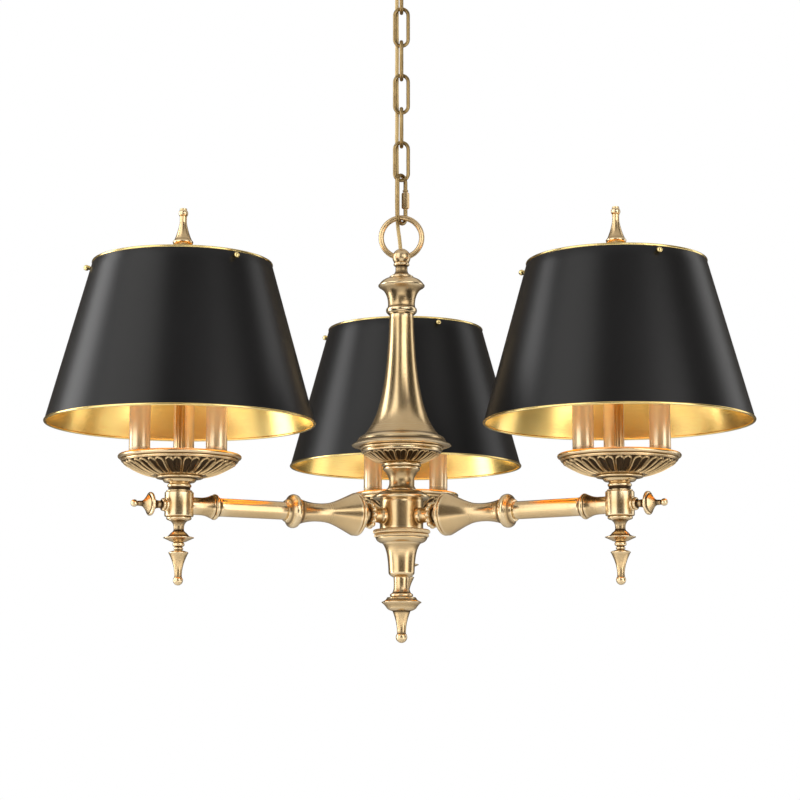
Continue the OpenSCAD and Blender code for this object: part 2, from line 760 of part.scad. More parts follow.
module arm_cone(i) {
    collar_s = cone_len - 10;
    throat_s = 64;
    outline = concat(
        [[cone_mouth_r - 6.4, 0], [cone_mouth_r - 5, 1.2], [cone_mouth_r - 5, 6.5]],
        bead(cone_mouth_r - 2.2, 9.6, 4.6, 2.2),
        [[cone_mouth_r - 0.8, 12.4]],
        curve([cone_mouth_r, 13.5], [cone_mouth_r - 2, 24], [cone_throat_r + 5, 38],
            [cone_throat_r + 1, throat_s - 14]),
        curve([cone_throat_r + 0.6, throat_s - 11], [cone_throat_r - 0.5, throat_s],
            [cone_throat_r + 0.5, throat_s + 12],
            [cone_collar_r - 5, collar_s - 8]),
        [[cone_collar_r - 3.2, collar_s - 6]],
        curve([cone_collar_r - 0.8, collar_s - 3.6], [cone_collar_r + 0.3, collar_s - 1],
            [cone_collar_r + 0.3, collar_s + 1],
            [cone_collar_r - 1, collar_s + 3], 8),
        [[cone_collar_r - 5, collar_s + 6], [cone_collar_r - 6, collar_s + 7.5],
            [arm_tube_r + 2, cone_len]]
    );
    color(brass) along_arm(i) translate([0, 0, cone_start]) turned(outline, arm_rod_r + bore_gap);
}

module arm_tube(i) {
    color(brass) along_arm(i) translate([0, 0, cone_end]) difference() {
        cylinder(r = arm_tube_r, h = socket_start - cone_end);
        translate([0, 0, -1]) cylinder(r = arm_rod_r + bore_gap, h = arm_reach);
    }
}

module arm_sockets() {
    flare_s = 9;
    end_r = 10;
    outline = concat(
        [[arm_tube_r + 0.5, 0], [arm_tube_r + 0.8, 3]],
        bead(socket_flare_r - 2.4, 6.4, 4.8, 2.4),
        curve([socket_flare_r - 1.4, flare_s + 1.2], [socket_flare_r - 3.4, flare_s + 5],
            [end_r + 0.2, 18], [end_r, 24]),
        [[end_r, socket_len + barrel_r / 2]]
    );
    color(brass) for (i = [0 : 2]) along_arm(i) difference() {
        translate([0, 0, socket_start]) turned(outline, arm_rod_r + bore_gap);
        translate([0, 0, arm_reach]) rotate([0, 90, 0])
            cylinder(r = barrel_r + 0.05, h = 4 * barrel_r, center = true);
    }
}

module knuckle(i) {
    neck_r = barrel_r - 4;
    top = barrel_high + barrel_neck_h;
    outline = concat(
        [[neck_r, -barrel_low - barrel_foot_h]],
        bead(neck_r, -barrel_low - barrel_foot_h / 2, barrel_foot_h - 0.6, 1.8),
        [[barrel_r - 0.8, -barrel_low]],
        [[barrel_r, -barrel_low + 0.8], [barrel_r, barrel_high - 0.8], [barrel_r - 0.8, barrel_high]],
        [[barrel_r - 1.8, barrel_high], [barrel_r - 1.8, barrel_high + 1.6]],
        [[neck_r, barrel_high + 2], [neck_r, barrel_high + 4.6]],
        bead(neck_r, barrel_high + 7, 3.6, 1.2),
        [[neck_r - 0.5, top - 1.2], [neck_r - 0.5, top]]
    );
    color(brass) at_branch(i) rotate([0, 0, arm_turn[i]]) difference() {
        turned(outline);
        translate([0, 0, barrel_high - spigot_h]) cylinder(r = stem_r + bore_gap, h = top);
        translate([0, 0, -barrel_low - barrel_foot_h - 1])
            cylinder(r = spigot_r + bore_gap, h = spigot_h + 1.5);
        rotate([0, 90, 0]) translate([0, 0, barrel_r - spigot_h])
            cylinder(r = spigot_r + bore_gap, h = 2 * spigot_h);
        rotate([0, -90, 0]) translate([0, 0, arm_rod_r + 1.5])
            cylinder(r = arm_rod_r + bore_gap, h = 2 * barrel_r);
    }
}

module side_knobs() {
    disc = knob_len * 0.45;
    ball_r = 4.2;
    outline = concat(
        [[spigot_r, -spigot_h + 0.5], [spigot_r, -1.5], [8.2, -1.5], [8.2, 0.6]],
        bead(6, 3, 3.6, 1.4),
        curve([5, 5.2], [4.2, 6], [4, 8], [4.8, disc - 7]),
        curve([6.4, disc - 5.4], [8.6, disc - 3.6], [knob_disc_r - 2.2, disc - 2.6],
            [knob_disc_r - 0.3, disc - 1.6], 6),
        [
            [knob_disc_r, disc - 1], [knob_disc_r, disc + 0.6],
            [knob_disc_r - 1.4, disc + 1.4], [knob_disc_r - 3, disc + 1.6]
        ],
        curve([knob_disc_r - 3.2, disc + 2.6], [knob_disc_r * 0.58, disc + 4.6], [4.4, disc + 6.6],
            [3.1, disc + 10], 10),
        [[2.9, knob_len - 8.6]],
        ball(ball_r, knob_len - ball_r, -52, 90)
    );
    color(brass) for (i = [0 : 2]) along_arm(i) difference() {
        translate([0, 0, arm_reach + barrel_r]) turned(outline);
        translate([0, 0, arm_reach]) rotate([0, 90, 0]) difference() {
            cylinder(r = barrel_r + 0.05, h = 4 * barrel_r, center = true);
            rotate([0, -90, 0]) cylinder(r = spigot_r + 0.1, h = 2 * barrel_r);
            rotate([0, 90, 0]) cylinder(r = spigot_r + 0.1, h = 2 * barrel_r);
        }
    }
}

module drop_finials() {
    h = drop_h;
    ball_r = 5.6;
    neck_r = barrel_r - 4.4;
    disc = h * 0.735;
    spike = h * 0.51;
    outline = concat(
        ball(ball_r, ball_r, -90, 38),
        curve([4.2, ball_r + 6], [4.3, h * 0.24], [5.4, h * 0.34], [drop_spike_r - 0.6, spike - 2]),
        [[drop_spike_r, spike - 1.4], [drop_spike_r, spike - 0.4], [drop_spike_r - 2, spike + 0.6]],
        [[4.4, spike + 2]],
        bead(4.2, spike + 3.8, 3, 1.2),
        [[4.4, disc - 10.8]],
        bead(5, disc - 8, 4.6, 1.8),
        curve([6.4, disc - 5.4], [drop_disc_r * 0.5, disc - 5], [drop_disc_r * 0.75, disc - 2.4],
            [drop_disc_r, disc - 0.8], 6),
        [[drop_disc_r, disc]],
        curve([drop_disc_r - 4, disc + 1], [drop_disc_r * 0.6, disc + 2],
            [drop_disc_r * 0.62, disc + 4], [7, disc + 6.5], 8),
        curve([6, disc + 8], [5.6, disc + 12], [6, h - 3.5], [neck_r - 2.5, h - 1], 8),
        [[neck_r, h], [spigot_r, h], [spigot_r, h + spigot_h - 0.5]]
    );
    color(brass) for (i = [0 : 2])
        at_branch(i) translate([0, 0, -barrel_low - barrel_foot_h - h]) turned(outline);
}

module dish(i) {
    bowl_z = dish_foot_h;
    rim_z = dish_h - dish_rim_h;
    depth = 2.4;
    bowl_r = dish_r - 6;
    bore = stem_r + bore_gap;
    floor_z = dish_h - tray_depth;
    foot = [dish_foot_r + 6, bowl_z + 2.6];
    rim = [bowl_r - 8, rim_z - 4.2];
    outer = concat(
        [[barrel_r - 3, 0]],
        curve([barrel_r + 0.5, 0.4], [barrel_r + 2.4, 1.5], [barrel_r + 2.6, 3.2],
            [barrel_r + 3.4, 4.6], 8),
        bead(dish_foot_r - 1.4, bowl_z - 1.6, 2.6, 1.4),
        [[dish_foot_r + 1, bowl_z], [bowl_r, rim_z - 0.6]],
        bead(dish_r - 4.6, rim_z + 1.2, 2.4, 1.2),
        bead(dish_r - 2.6, rim_z + dish_rim_h * 0.66, dish_rim_h * 0.62, 2.6),
        [[dish_r - 4.5, dish_h], [dish_r - 6, floor_z]]
    );
    cavity = [
        [bore, floor_z - 2.5], [bore, bowl_z + 6], [dish_foot_r - 4, bowl_z + 6],
        [bowl_r - 14, rim_z - 1], [bowl_r - 14, floor_z - 2.5]
    ];
    color(brass) at_branch(i) translate([0, 0, dish_z]) difference() {
        turned(outer, bore);
        rotate_extrude() polygon(cavity);
        for (k = [0 : flute_count - 1])
            rotate([0, 0, 360 / flute_count * (k + 0.5)])
                flute(foot, rim, depth);
    }
}

// Places one copy for each candle of a branch
module at_candles(i) {
    at_branch(i) for (a = third)
        rotate([0, 0, 90 + candle_turn[i] + a]) translate([candle_circle_r, 0, 0]) children();
}

module candle_sleeves() {
    outer_r = candle_d / 2;
    foot_h = 2.5;
    foot_r = outer_r + 1.4;
    color(candle_gold) for (i = [0 : 2]) at_candles(i) translate([0, 0, tray_z]) difference() {
        turned([[foot_r, 0], [foot_r, foot_h - 1], [outer_r, foot_h], [outer_r, candle_h]]);
        translate([0, 0, -1]) cylinder(r = outer_r - candle_wall, h = candle_h + 2);
    }
}

module lampholders() {
    post_r = 6;
    color([0.85, 0.83, 0.78]) for (i = [0 : 2]) at_candles(i) difference() {
        union() {
            translate([0, 0, tray_z]) cylinder(r = post_r, h = holder_z - tray_z + 1);
            translate([0, 0, holder_z]) cylinder(r = holder_r, h = holder_h);
        }
        translate([0, 0, tray_z + candle_h - bulb_cap_h])
            cylinder(r = bulb_cap_r + bore_gap, h = bulb_cap_h + 1);
    }
}

module bulbs() {
    neck_r = bulb_cap_r + 1;
    outline = concat(
        [[bulb_cap_r - 2.5, 0], [bulb_cap_r, 3], [bulb_cap_r, bulb_cap_h], [neck_r, bulb_cap_h]],
        curve([neck_r, bulb_cap_h + 3], [bulb_r + 1, bulb_cap_h + 9],
            [bulb_r + 2, bulb_cap_h + bulb_h * 0.42],
            [bulb_r * 0.72, bulb_cap_h + bulb_h * 0.6]),
        curve([bulb_r * 0.6, bulb_cap_h + bulb_h * 0.67], [bulb_r * 0.32, bulb_cap_h + bulb_h * 0.84],
            [bulb_r * 0.2, bulb_cap_h + bulb_h * 0.94], [1.2, bulb_cap_h + bulb_h])
    );
    color(glass) for (i = [0 : 2])
        at_candles(i) translate([0, 0, tray_z + candle_h - bulb_cap_h]) turned(outline);
}

module shade_stem(i) {
    foot = barrel_high - spigot_h + 0.5;
    seat_r = stem_r + 4;
    pin_r = stem_r - 1;
    lock_h = 6;
    color(brass) at_branch(i) {
        translate([0, 0, foot]) cylinder(r = stem_r, h = finial_z - seat_gap - foot);
        translate([0, 0, tray_z]) cylinder(r = seat_r, h = lock_h, $fn = 6);
        translate([0, 0, seat_z - 4]) cylinder(r = seat_r, h = 4);
        translate([0, 0, finial_z - seat_gap]) cylinder(r = pin_r, h = 12);
    }
}

// Radius of a shade's outer face at a height below its upper edge
function shade_r(drop) = shade_top_r + (shade_bottom_r - shade_top_r) * drop / shade_h;

module spider(i) {
    hub_r = stem_r + 6;
    hub_z = seat_z + seat_gap;
    ring_r = shade_r(spider_drop) - shade_wall - spider_wire / 2 - 0.4;
    ring_z = shade_top_z - spider_drop;
    run = [ring_r - hub_r + 2, ring_z - hub_z - spider_hub_h / 2];
    color(brass) at_branch(i) difference() {
        union() {
            translate([0, 0, hub_z]) cylinder(r = hub_r, h = spider_hub_h);
            translate([0, 0, ring_z]) rotate_extrude() translate([ring_r, 0]) circle(d = spider_wire);
            for (a = third)
                rotate([0, 0, spider_turn[i] + a]) translate([hub_r - 2, 0, hub_z + spider_hub_h / 2])
                    rotate([0, atan2(run[0], run[1]), 0]) cylinder(d = spider_wire * 0.8, h = norm(run));
        }
        translate([0, 0, hub_z - 1]) cylinder(r = stem_r + turn_gap, h = spider_hub_h + 2);
    }
}

module shade(i) {
    top = shade_top_z;
    low = shade_top_z - shade_h;
    wall = [
        [shade_bottom_r - shade_wall, low], [shade_bottom_r, low],
        [shade_top_r, top], [shade_top_r - shade_wall, top]
    ];
    color(shade_black) at_branch(i) difference() {
        union() {
            rotate_extrude() polygon(wall);
            translate([0, 0, low]) rotate_extrude()
                translate([shade_bottom_r - shade_wall / 2, 0]) circle(d = rim_wire);
            translate([0, 0, top]) rotate_extrude()
                translate([shade_top_r - shade_wall / 2, 0]) circle(d = rim_wire);
        }
        for (a = third)
            rotate([0, 0, spider_turn[i] + a]) translate([0, 0, top - spider_drop]) rotate([0, 90, 0])
                cylinder(r = nut_r * 0.45 + bore_gap, h = 2 * shade_top_r);
    }
}

module shade_nuts(i) {
    wall_r = shade_r(spider_drop);
    pin_r = nut_r * 0.45;
    base_r = nut_r * 0.75;
    off_wall = base_r * (shade_bottom_r - shade_top_r) / shade_h + 0.1;
    color(brass) at_branch(i) for (a = third)
        rotate([0, 0, spider_turn[i] + a])
        translate([wall_r, 0, shade_top_z - spider_drop])
        rotate([0, 90, 0]) {
            translate([0, 0, nut_r + 1.2]) sphere(r = nut_r);
            translate([0, 0, off_wall]) cylinder(r = base_r, h = nut_r);
            translate([0, 0, -shade_wall - 0.3]) cylinder(r = pin_r, h = nut_r + 1);
        }
}

module top_finial(i) {
    ball_r = 5.5;
    h = top_finial_h;
    flange = 9.4;
    outline = concat(
        [[top_flange_r - 3, 0], [top_flange_r - 2.4, 4]],
        curve([top_flange_r - 2, 5], [top_flange_r - 1, 6], [top_flange_r - 0.4, 7],
            [top_flange_r, flange - 0.8], 6),
        [[top_flange_r, flange]],
        curve([top_flange_r - 1.4, flange + 1.6], [7.6, flange + 7], [4.4, flange + 18], [3.8, h - 14]),
        [[3.8, h - 10.5]],
        ball(ball_r, h - ball_r, -46, 90)
    );
    color(brass) at_branch(i) translate([0, 0, finial_z]) difference() {
        turned(outline);
        translate([0, 0, -1]) cylinder(r = stem_r - 1 + turn_gap, h = 13.5);
    }
}

ceiling_bracket();
canopy_nipple();
canopy();
canopy_loop();
power_cord();
for (i = [1 : link_count]) chain_link(i);
quick_link();
quick_link_sleeve();
hanging_ring();
hanger_ball();
top_vase();
trumpet();
fluted_collar();
neck_spool();
tie_rod();
hub_cap();
hub_drum();
hub_base();
bottom_cup();
bottom_finial();
arm_rods();
arm_roots();
arm_sockets();
side_knobs();
drop_finials();
candle_sleeves();
lampholders();
bulbs();
for (i = [0 : 2]) arm_cone(i);
for (i = [0 : 2]) arm_tube(i);
for (i = [0 : 2]) knuckle(i);
for (i = [0 : 2]) dish(i);
for (i = [0 : 2]) shade_stem(i);
for (i = [0 : 2]) spider(i);
for (i = [0 : 2]) shade(i);
for (i = [0 : 2]) shade_nuts(i);
for (i = [0 : 2]) top_finial(i);
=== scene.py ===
import math

import bmesh
import bpy
from mathutils import Matrix, Vector


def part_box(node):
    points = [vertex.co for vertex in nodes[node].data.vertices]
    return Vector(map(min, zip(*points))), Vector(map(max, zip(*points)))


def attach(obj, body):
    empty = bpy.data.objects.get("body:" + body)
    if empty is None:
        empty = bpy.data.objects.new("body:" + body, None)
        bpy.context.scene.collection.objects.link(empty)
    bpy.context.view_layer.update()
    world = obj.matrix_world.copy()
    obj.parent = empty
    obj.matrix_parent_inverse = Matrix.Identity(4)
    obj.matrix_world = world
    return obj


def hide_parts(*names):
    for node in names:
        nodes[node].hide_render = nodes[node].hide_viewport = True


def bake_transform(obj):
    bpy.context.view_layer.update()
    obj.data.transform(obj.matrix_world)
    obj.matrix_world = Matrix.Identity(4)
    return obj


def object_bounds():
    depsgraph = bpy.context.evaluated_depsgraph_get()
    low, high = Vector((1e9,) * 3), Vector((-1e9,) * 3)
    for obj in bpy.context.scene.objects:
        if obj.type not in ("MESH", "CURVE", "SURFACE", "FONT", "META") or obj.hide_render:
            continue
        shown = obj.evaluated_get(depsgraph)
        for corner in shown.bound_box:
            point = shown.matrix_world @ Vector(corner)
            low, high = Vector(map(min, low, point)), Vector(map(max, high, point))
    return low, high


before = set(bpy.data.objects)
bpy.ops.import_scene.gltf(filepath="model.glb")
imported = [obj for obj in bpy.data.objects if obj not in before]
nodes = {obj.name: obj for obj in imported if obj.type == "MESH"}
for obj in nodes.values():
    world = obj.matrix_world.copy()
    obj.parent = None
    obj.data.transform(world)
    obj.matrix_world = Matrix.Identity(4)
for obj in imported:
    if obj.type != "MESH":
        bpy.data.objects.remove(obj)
cadLow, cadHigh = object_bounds()
scene = bpy.context.scene
scene.view_settings.view_transform = "Standard"
print("frame loaded:", len(nodes), "nodes")

mm = 0.001
sides = ["left", "right", "rear"]
armTurn = {"left": 210, "right": 330, "rear": 90}
armReach = 288
barrelRadius = 16.5
tubeRadius = 10.5
rodBore = 5.25  # the column's pieces slide over the tie rod
armBore = 6.25  # an arm's pieces slide over its own rod
hubDrum = {"radius": 26, "above": 20, "below": 15, "wall": 5}


def lowOf(node):
    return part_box(node)[0].z / mm


def highOf(node):
    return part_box(node)[1].z / mm


def midOf(node):
    return (lowOf(node) + highOf(node)) / 2


armZ = lowOf("hub_drum") + hubDrum["below"]
ringZ = midOf("hanging_ring")
quickZ = midOf("quick_link")


def branchSpot(side):
    turn = math.radians(armTurn[side])
    return armReach * math.cos(turn), armReach * math.sin(turn)


# camera: fitted to the photo's shade rims, dishes and hub
cameraFit = {
    "lens": 97.47, "distance": 2.585, "around": 1.08, "belowArms": 0.2414, "tiltUp": 8.42, "aside": 0.04,
}
cameraTurn = math.radians(cameraFit["around"])
cameraData = bpy.data.cameras.new("camera")
cameraData.lens = cameraFit["lens"]
cameraData.sensor_width = 36
cameraData.clip_end = 60
camera = bpy.data.objects.new("camera", cameraData)
scene.collection.objects.link(camera)
camera.location = (
    cameraFit["distance"] * math.sin(cameraTurn),
    -cameraFit["distance"] * math.cos(cameraTurn),
    armZ * mm - cameraFit["belowArms"],
)
lookUp, lookRound = math.radians(90 + cameraFit["tiltUp"]), cameraTurn + math.radians(cameraFit["aside"])
camera.rotation_euler = (lookUp, 0, lookRound)
scene.camera = camera
print("camera set")


# outlines are lists of (radius, height) in millimetres, from the foot up
def bend(p, q, s, t, steps=12):
    out = []
    for i in range(steps + 1):
        k = i / steps
        j = 1 - k
        w = (j * j * j, 3 * j * j * k, 3 * j * k * k, k * k * k)
        out.append(tuple(w[0] * p[n] + w[1] * q[n] + w[2] * s[n] + w[3] * t[n] for n in (0, 1)))
    return out


def bead(r, z, h, rise, steps=12):
    out = []
    for i in range(steps + 1):
        k = math.radians(-90 + 180 * i / steps)
        out.append((r + rise * math.cos(k), z + h / 2 * math.sin(k)))
    return out


def ball(r, z, start, stop, steps=14):
    out = []
    for i in range(steps + 1):
        k = math.radians(start + (stop - start) * i / steps)
        out.append((r * math.cos(k), z + r * math.sin(k)))
    return out


# a ring of points, lying flat or standing upright
def circlePath(radius, steps, z=0, upright=False):
    out = []
    for i in range(steps):
        k = 2 * math.pi * i / steps
        x, y = radius * math.cos(k), radius * math.sin(k)
        out.append((x, 0, y) if upright else (x, y, z))
    return out


def lengthsAlong(line):
    out = [0.0]
    for p, q in zip(line, line[1:]):
        out.append(out[-1] + math.dist(p, q))
    return out


# drops points that lie on the one before
def distinct(outline):
    out = []
    for p in outline:
        p = (max(p[0], 0.0), p[1])
        if not out or math.dist(p, out[-1]) > 0.02:
            out.append(p)
    return out


# rounds each corner that turns by more than so many degrees
def soften(outline, reach, sharp=24, share=0.42):
    outline = distinct(outline)
    out = [outline[0]]
    for before, here, after in zip(outline, outline[1:], outline[2:]):
        p, q, s = Vector(before), Vector(here), Vector(after)
        first, second = p - q, s - q
        if math.pi - first.angle(second) < math.radians(sharp) or here[0] < 0.01:
            out.append(here)
            continue
        k = min(reach, first.length * share, second.length * share)
        start, stop = q + first.normalized() * k, q + second.normalized() * k
        out += [tuple(start), tuple((start + stop) / 4 + q / 2), tuple(stop)]
    out.append(outline[-1])
    return out


# how far each point of an outline lies in a groove (positive) or on a ridge (negative)
def grooves(outline, span=3.0, full=0.4):
    lengths = lengthsAlong(outline)

    def at(s):
        s = min(max(s, 0), lengths[-1])
        i = 0
        while i < len(lengths) - 2 and lengths[i + 1] < s:
            i += 1
        k = (s - lengths[i]) / max(lengths[i + 1] - lengths[i], 1e-6)
        p, q = outline[i], outline[i + 1]
        return p[0] + (q[0] - p[0]) * k, p[1] + (q[1] - p[1]) * k

    out = []
    for s, p in zip(lengths, outline):
        around = [at(s + span * k / 4) for k in range(-4, 5)]
        mean = (sum(q[0] for q in around) / 9, sum(q[1] for q in around) / 9)
        before, after = at(s - 0.5), at(s + 0.5)
        along = (after[0] - before[0], after[1] - before[1])
        size = math.hypot(*along) or 1
        inward = ((mean[0] - p[0]) * along[1] - (mean[1] - p[1]) * along[0]) / size
        out.append(max(-1.0, min(1.0, inward / full)))
    return out


# a part is points in metres, faces, a uv for each face corner and a groove value for each point
def turned(outline, bore, segments, reach=0.4, lift=None, closed=True, loop=False):
    if closed:
        outline = [(bore, outline[0][1])] + outline + [(bore, outline[-1][1])]
    shape = soften(outline, reach)
    deep = grooves(shape)
    count = len(shape)
    lengths = lengthsAlong(shape)
    points, groove = [], []
    for i, (r, z) in enumerate(shape):
        before, after = shape[max(i - 1, 0)], shape[min(i + 1, count - 1)]
        size = math.dist(before, after) or 1
        out = ((after[1] - before[1]) / size, -(after[0] - before[0]) / size)
        for k in range(segments):
            turn = 2 * math.pi * k / segments
            push, dark = lift(r, z, turn) if lift else (0.0, 0.0)
            rr, zz = r + out[0] * push, z + out[1] * push
            points.append((rr * math.cos(turn) * mm, rr * math.sin(turn) * mm, zz * mm))
            groove.append(max(-1.0, min(1.0, deep[i] + dark)))
    faces, uv = [], []
    rows = count if loop or closed and bore > 0 else count - 1
    for i in range(rows):
        j = (i + 1) % count
        low, high = lengths[i] * 0.01, lengths[j] * 0.01 if j else lengths[i] * 0.01 + 0.1
        for k in range(segments):
            n = (k + 1) % segments
            u, w = k / segments, (k + 1) / segments
            ring = [i * segments + k, i * segments + n, j * segments + n, j * segments + k]
            corner = [(u, low), (w, low), (w, high), (u, high)]
            if shape[i][0] < 1e-6:
                ring[0] = ring[1] = i * segments
                ring, corner = ring[1:], corner[1:]
            elif shape[j][0] < 1e-6:
                ring[2] = ring[3] = j * segments
                ring, corner = ring[:3], corner[:3]
            faces.append(ring)
            uv += corner
    return {"points": points, "faces": faces, "uv": uv, "groove": groove}


# a round bar along a path of points in millimetres
def bar(path, radius, ring, loop=False):
    line = [Vector(p) for p in path]
    count = len(line)
    tangents = []
    for i in range(count):
        before = line[(i - 1) % count] if loop or i else line[0]
        after = line[(i + 1) % count] if loop or i < count - 1 else line[-1]
        tangents.append((after - before).normalized())
    side = tangents[0].orthogonal().normalized()
    points = []
    for middle, tangent in zip(line, tangents):
        side = (side - tangent * side.dot(tangent)).normalized()
        over = tangent.cross(side)
        for k in range(ring):
            turn = 2 * math.pi * k / ring
            points.append(tuple((middle + (side * math.cos(turn) + over * math.sin(turn)) * radius) * mm))
    twist = 0
    if loop:  # the cross-section may have turned by the time the loop closes
        first, last = Vector(points[0]), [Vector(p) for p in points[-ring:]]
        twist = min(range(ring), key=lambda k: (last[k] - first).length)
    lengths = lengthsAlong(line)
    faces, uv = [], []
    for i in range(count if loop else count - 1):
        j = (i + 1) % count
        by = twist if j == 0 else 0
        low, high = lengths[i] * 0.01, (lengths[i] + 1) * 0.01 if j == 0 else lengths[j] * 0.01
        for k in range(ring):
            n = (k + 1) % ring
            u, w = k / ring, (k + 1) / ring
            faces.append([i * ring + (k + by) % ring, i * ring + (n + by) % ring, j * ring + n, j * ring + k])
            uv += [(u, low), (w, low), (w, high), (u, high)]
    if not loop:
        faces.append(list(range(ring))[::-1])
        faces.append([(count - 1) * ring + k for k in range(ring)])
        uv += [(k / ring, 0) for k in range(ring)] * 2
    return {"points": points, "faces": faces, "uv": uv, "groove": [0.0] * len(points)}


def moved(part, matrix):
    return dict(part, points=[tuple(matrix @ Vector(p)) for p in part["points"]])


def fused(parts):
    whole = {"points": [], "faces": [], "uv": [], "groove": []}
    for part in parts:
        base = len(whole["points"])
        whole["points"] += part["points"]
        whole["faces"] += [[base + i for i in face] for face in part["faces"]]
        whole["uv"] += part["uv"]
        whole["groove"] += part["groove"]
    return whole


def shift(x=0, y=0, z=0):
    return Matrix.Translation((x * mm, y * mm, z * mm))


def spin(degrees, axis="Z"):
    return Matrix.Rotation(math.radians(degrees), 4, axis)


def toMesh(name, part, finish, crease=42):
    mesh = bpy.data.meshes.new(name)
    mesh.from_pydata(part["points"], [], part["faces"])
    layer = mesh.uv_layers.new(name="turning")
    layer.data.foreach_set("uv", [value for pair in part["uv"] for value in pair])
    store = mesh.attributes.new("groove", "FLOAT", "POINT")
    store.data.foreach_set("value", part["groove"])
    used = set(i for face in part["faces"] for i in face)
    if len(used) < len(part["points"]):  # spare points at the poles of turned pieces
        work = bmesh.new()
        work.from_mesh(mesh)
        work.verts.ensure_lookup_table()
        for v in [v for v in work.verts if v.index not in used]:
            work.verts.remove(v)
        work.to_mesh(mesh)
        work.free()
    mesh.polygons.foreach_set("use_smooth", [True] * len(mesh.polygons))
    mesh.set_sharp_from_angle(angle=math.radians(crease))
    mesh.materials.append(finish)
    mesh.update()
    return mesh


# takes each cutter's shape out of a closed mesh
def cutOut(mesh, cutters, crease=40):
    solid = bpy.data.objects.new("solid", mesh)
    scene.collection.objects.link(solid)
    tools = []
    for cutter in cutters:
        tool = bpy.data.objects.new("tool", toMesh("tool", cutter, mesh.materials[0]))
        scene.collection.objects.link(tool)
        step = solid.modifiers.new("cut", "BOOLEAN")
        step.object = tool
        tools.append(tool)
    view = bpy.context.evaluated_depsgraph_get()
    done = solid.evaluated_get(view)
    cut = bpy.data.meshes.new_from_object(done, preserve_all_data_layers=True, depsgraph=view)
    for made in [solid] + tools:
        bpy.data.objects.remove(made)
    cut.set_sharp_from_angle(angle=math.radians(crease))
    return cut


def setPiece(name, mesh, body, node, at=None):
    piece = bpy.data.objects.new(name, mesh)
    scene.collection.objects.link(piece)
    piece.matrix_world = at or Matrix.Identity(4)
    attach(piece, body)
    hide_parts(node)


def setBrass(name, mesh, node, at):
    setPiece(name, mesh, "frame", node, at)


def branchAt(side, z=0):
    return shift(*branchSpot(side), armZ + z)


# local +Z runs outwards along the arm
def armAt(side, s):
    return shift(0, 0, armZ) @ spin(armTurn[side]) @ spin(90, "Y") @ shift(0, 0, s)


# finishes
def startFinish(name):
    finish = bpy.data.materials.new(name)
    finish.use_nodes = True
    tree = finish.node_tree
    return finish, tree, tree.nodes["Principled BSDF"]


def put(tree, kind, values=None, **settings):
    made = tree.nodes.new(kind)
    for key, value in settings.items():
        setattr(made, key, value)
    for key, value in (values or {}).items():
        made.inputs[key].default_value = value
    return made


def fill(tree, socket, value):
    if isinstance(value, (int, float)):
        socket.default_value = value
    elif isinstance(value, tuple):
        socket.default_value = (*value, 1)
    else:
        tree.links.new(value, socket)


def calc(tree, operation, first, second, clamp=False):
    made = put(tree, "ShaderNodeMath", operation=operation, use_clamp=clamp)
    fill(tree, made.inputs[0], first)
    fill(tree, made.inputs[1], second)
    return made.outputs[0]


def blendColour(tree, amount, first, second):
    made = put(tree, "ShaderNodeMix", data_type="RGBA")
    for socket, value in ((0, amount), (6, first), (7, second)):
        fill(tree, made.inputs[socket], value)
    return made.outputs[2]


def ramp(tree, value, low, high):
    made = put(tree, "ShaderNodeMapRange", {1: low, 2: high})
    tree.links.new(value, made.inputs[0])
    return made.outputs[0]


def noise(tree, place, scale, detail=3.0, rough=0.5):
    made = put(tree, "ShaderNodeTexNoise", {"Scale": scale, "Detail": detail, "Roughness": rough})
    tree.links.new(place, made.inputs["Vector"])
    return made.outputs[0]


def varied(tree, source, vary, base):
    return calc(tree, "ADD", calc(tree, "MULTIPLY", source, vary), base)


def setBump(tree, shader, height, strength, distance):
    bump = put(tree, "ShaderNodeBump", {"Strength": strength, "Distance": distance})
    tree.links.new(height, bump.inputs["Height"])
    tree.links.new(bump.outputs[0], shader.inputs["Normal"])


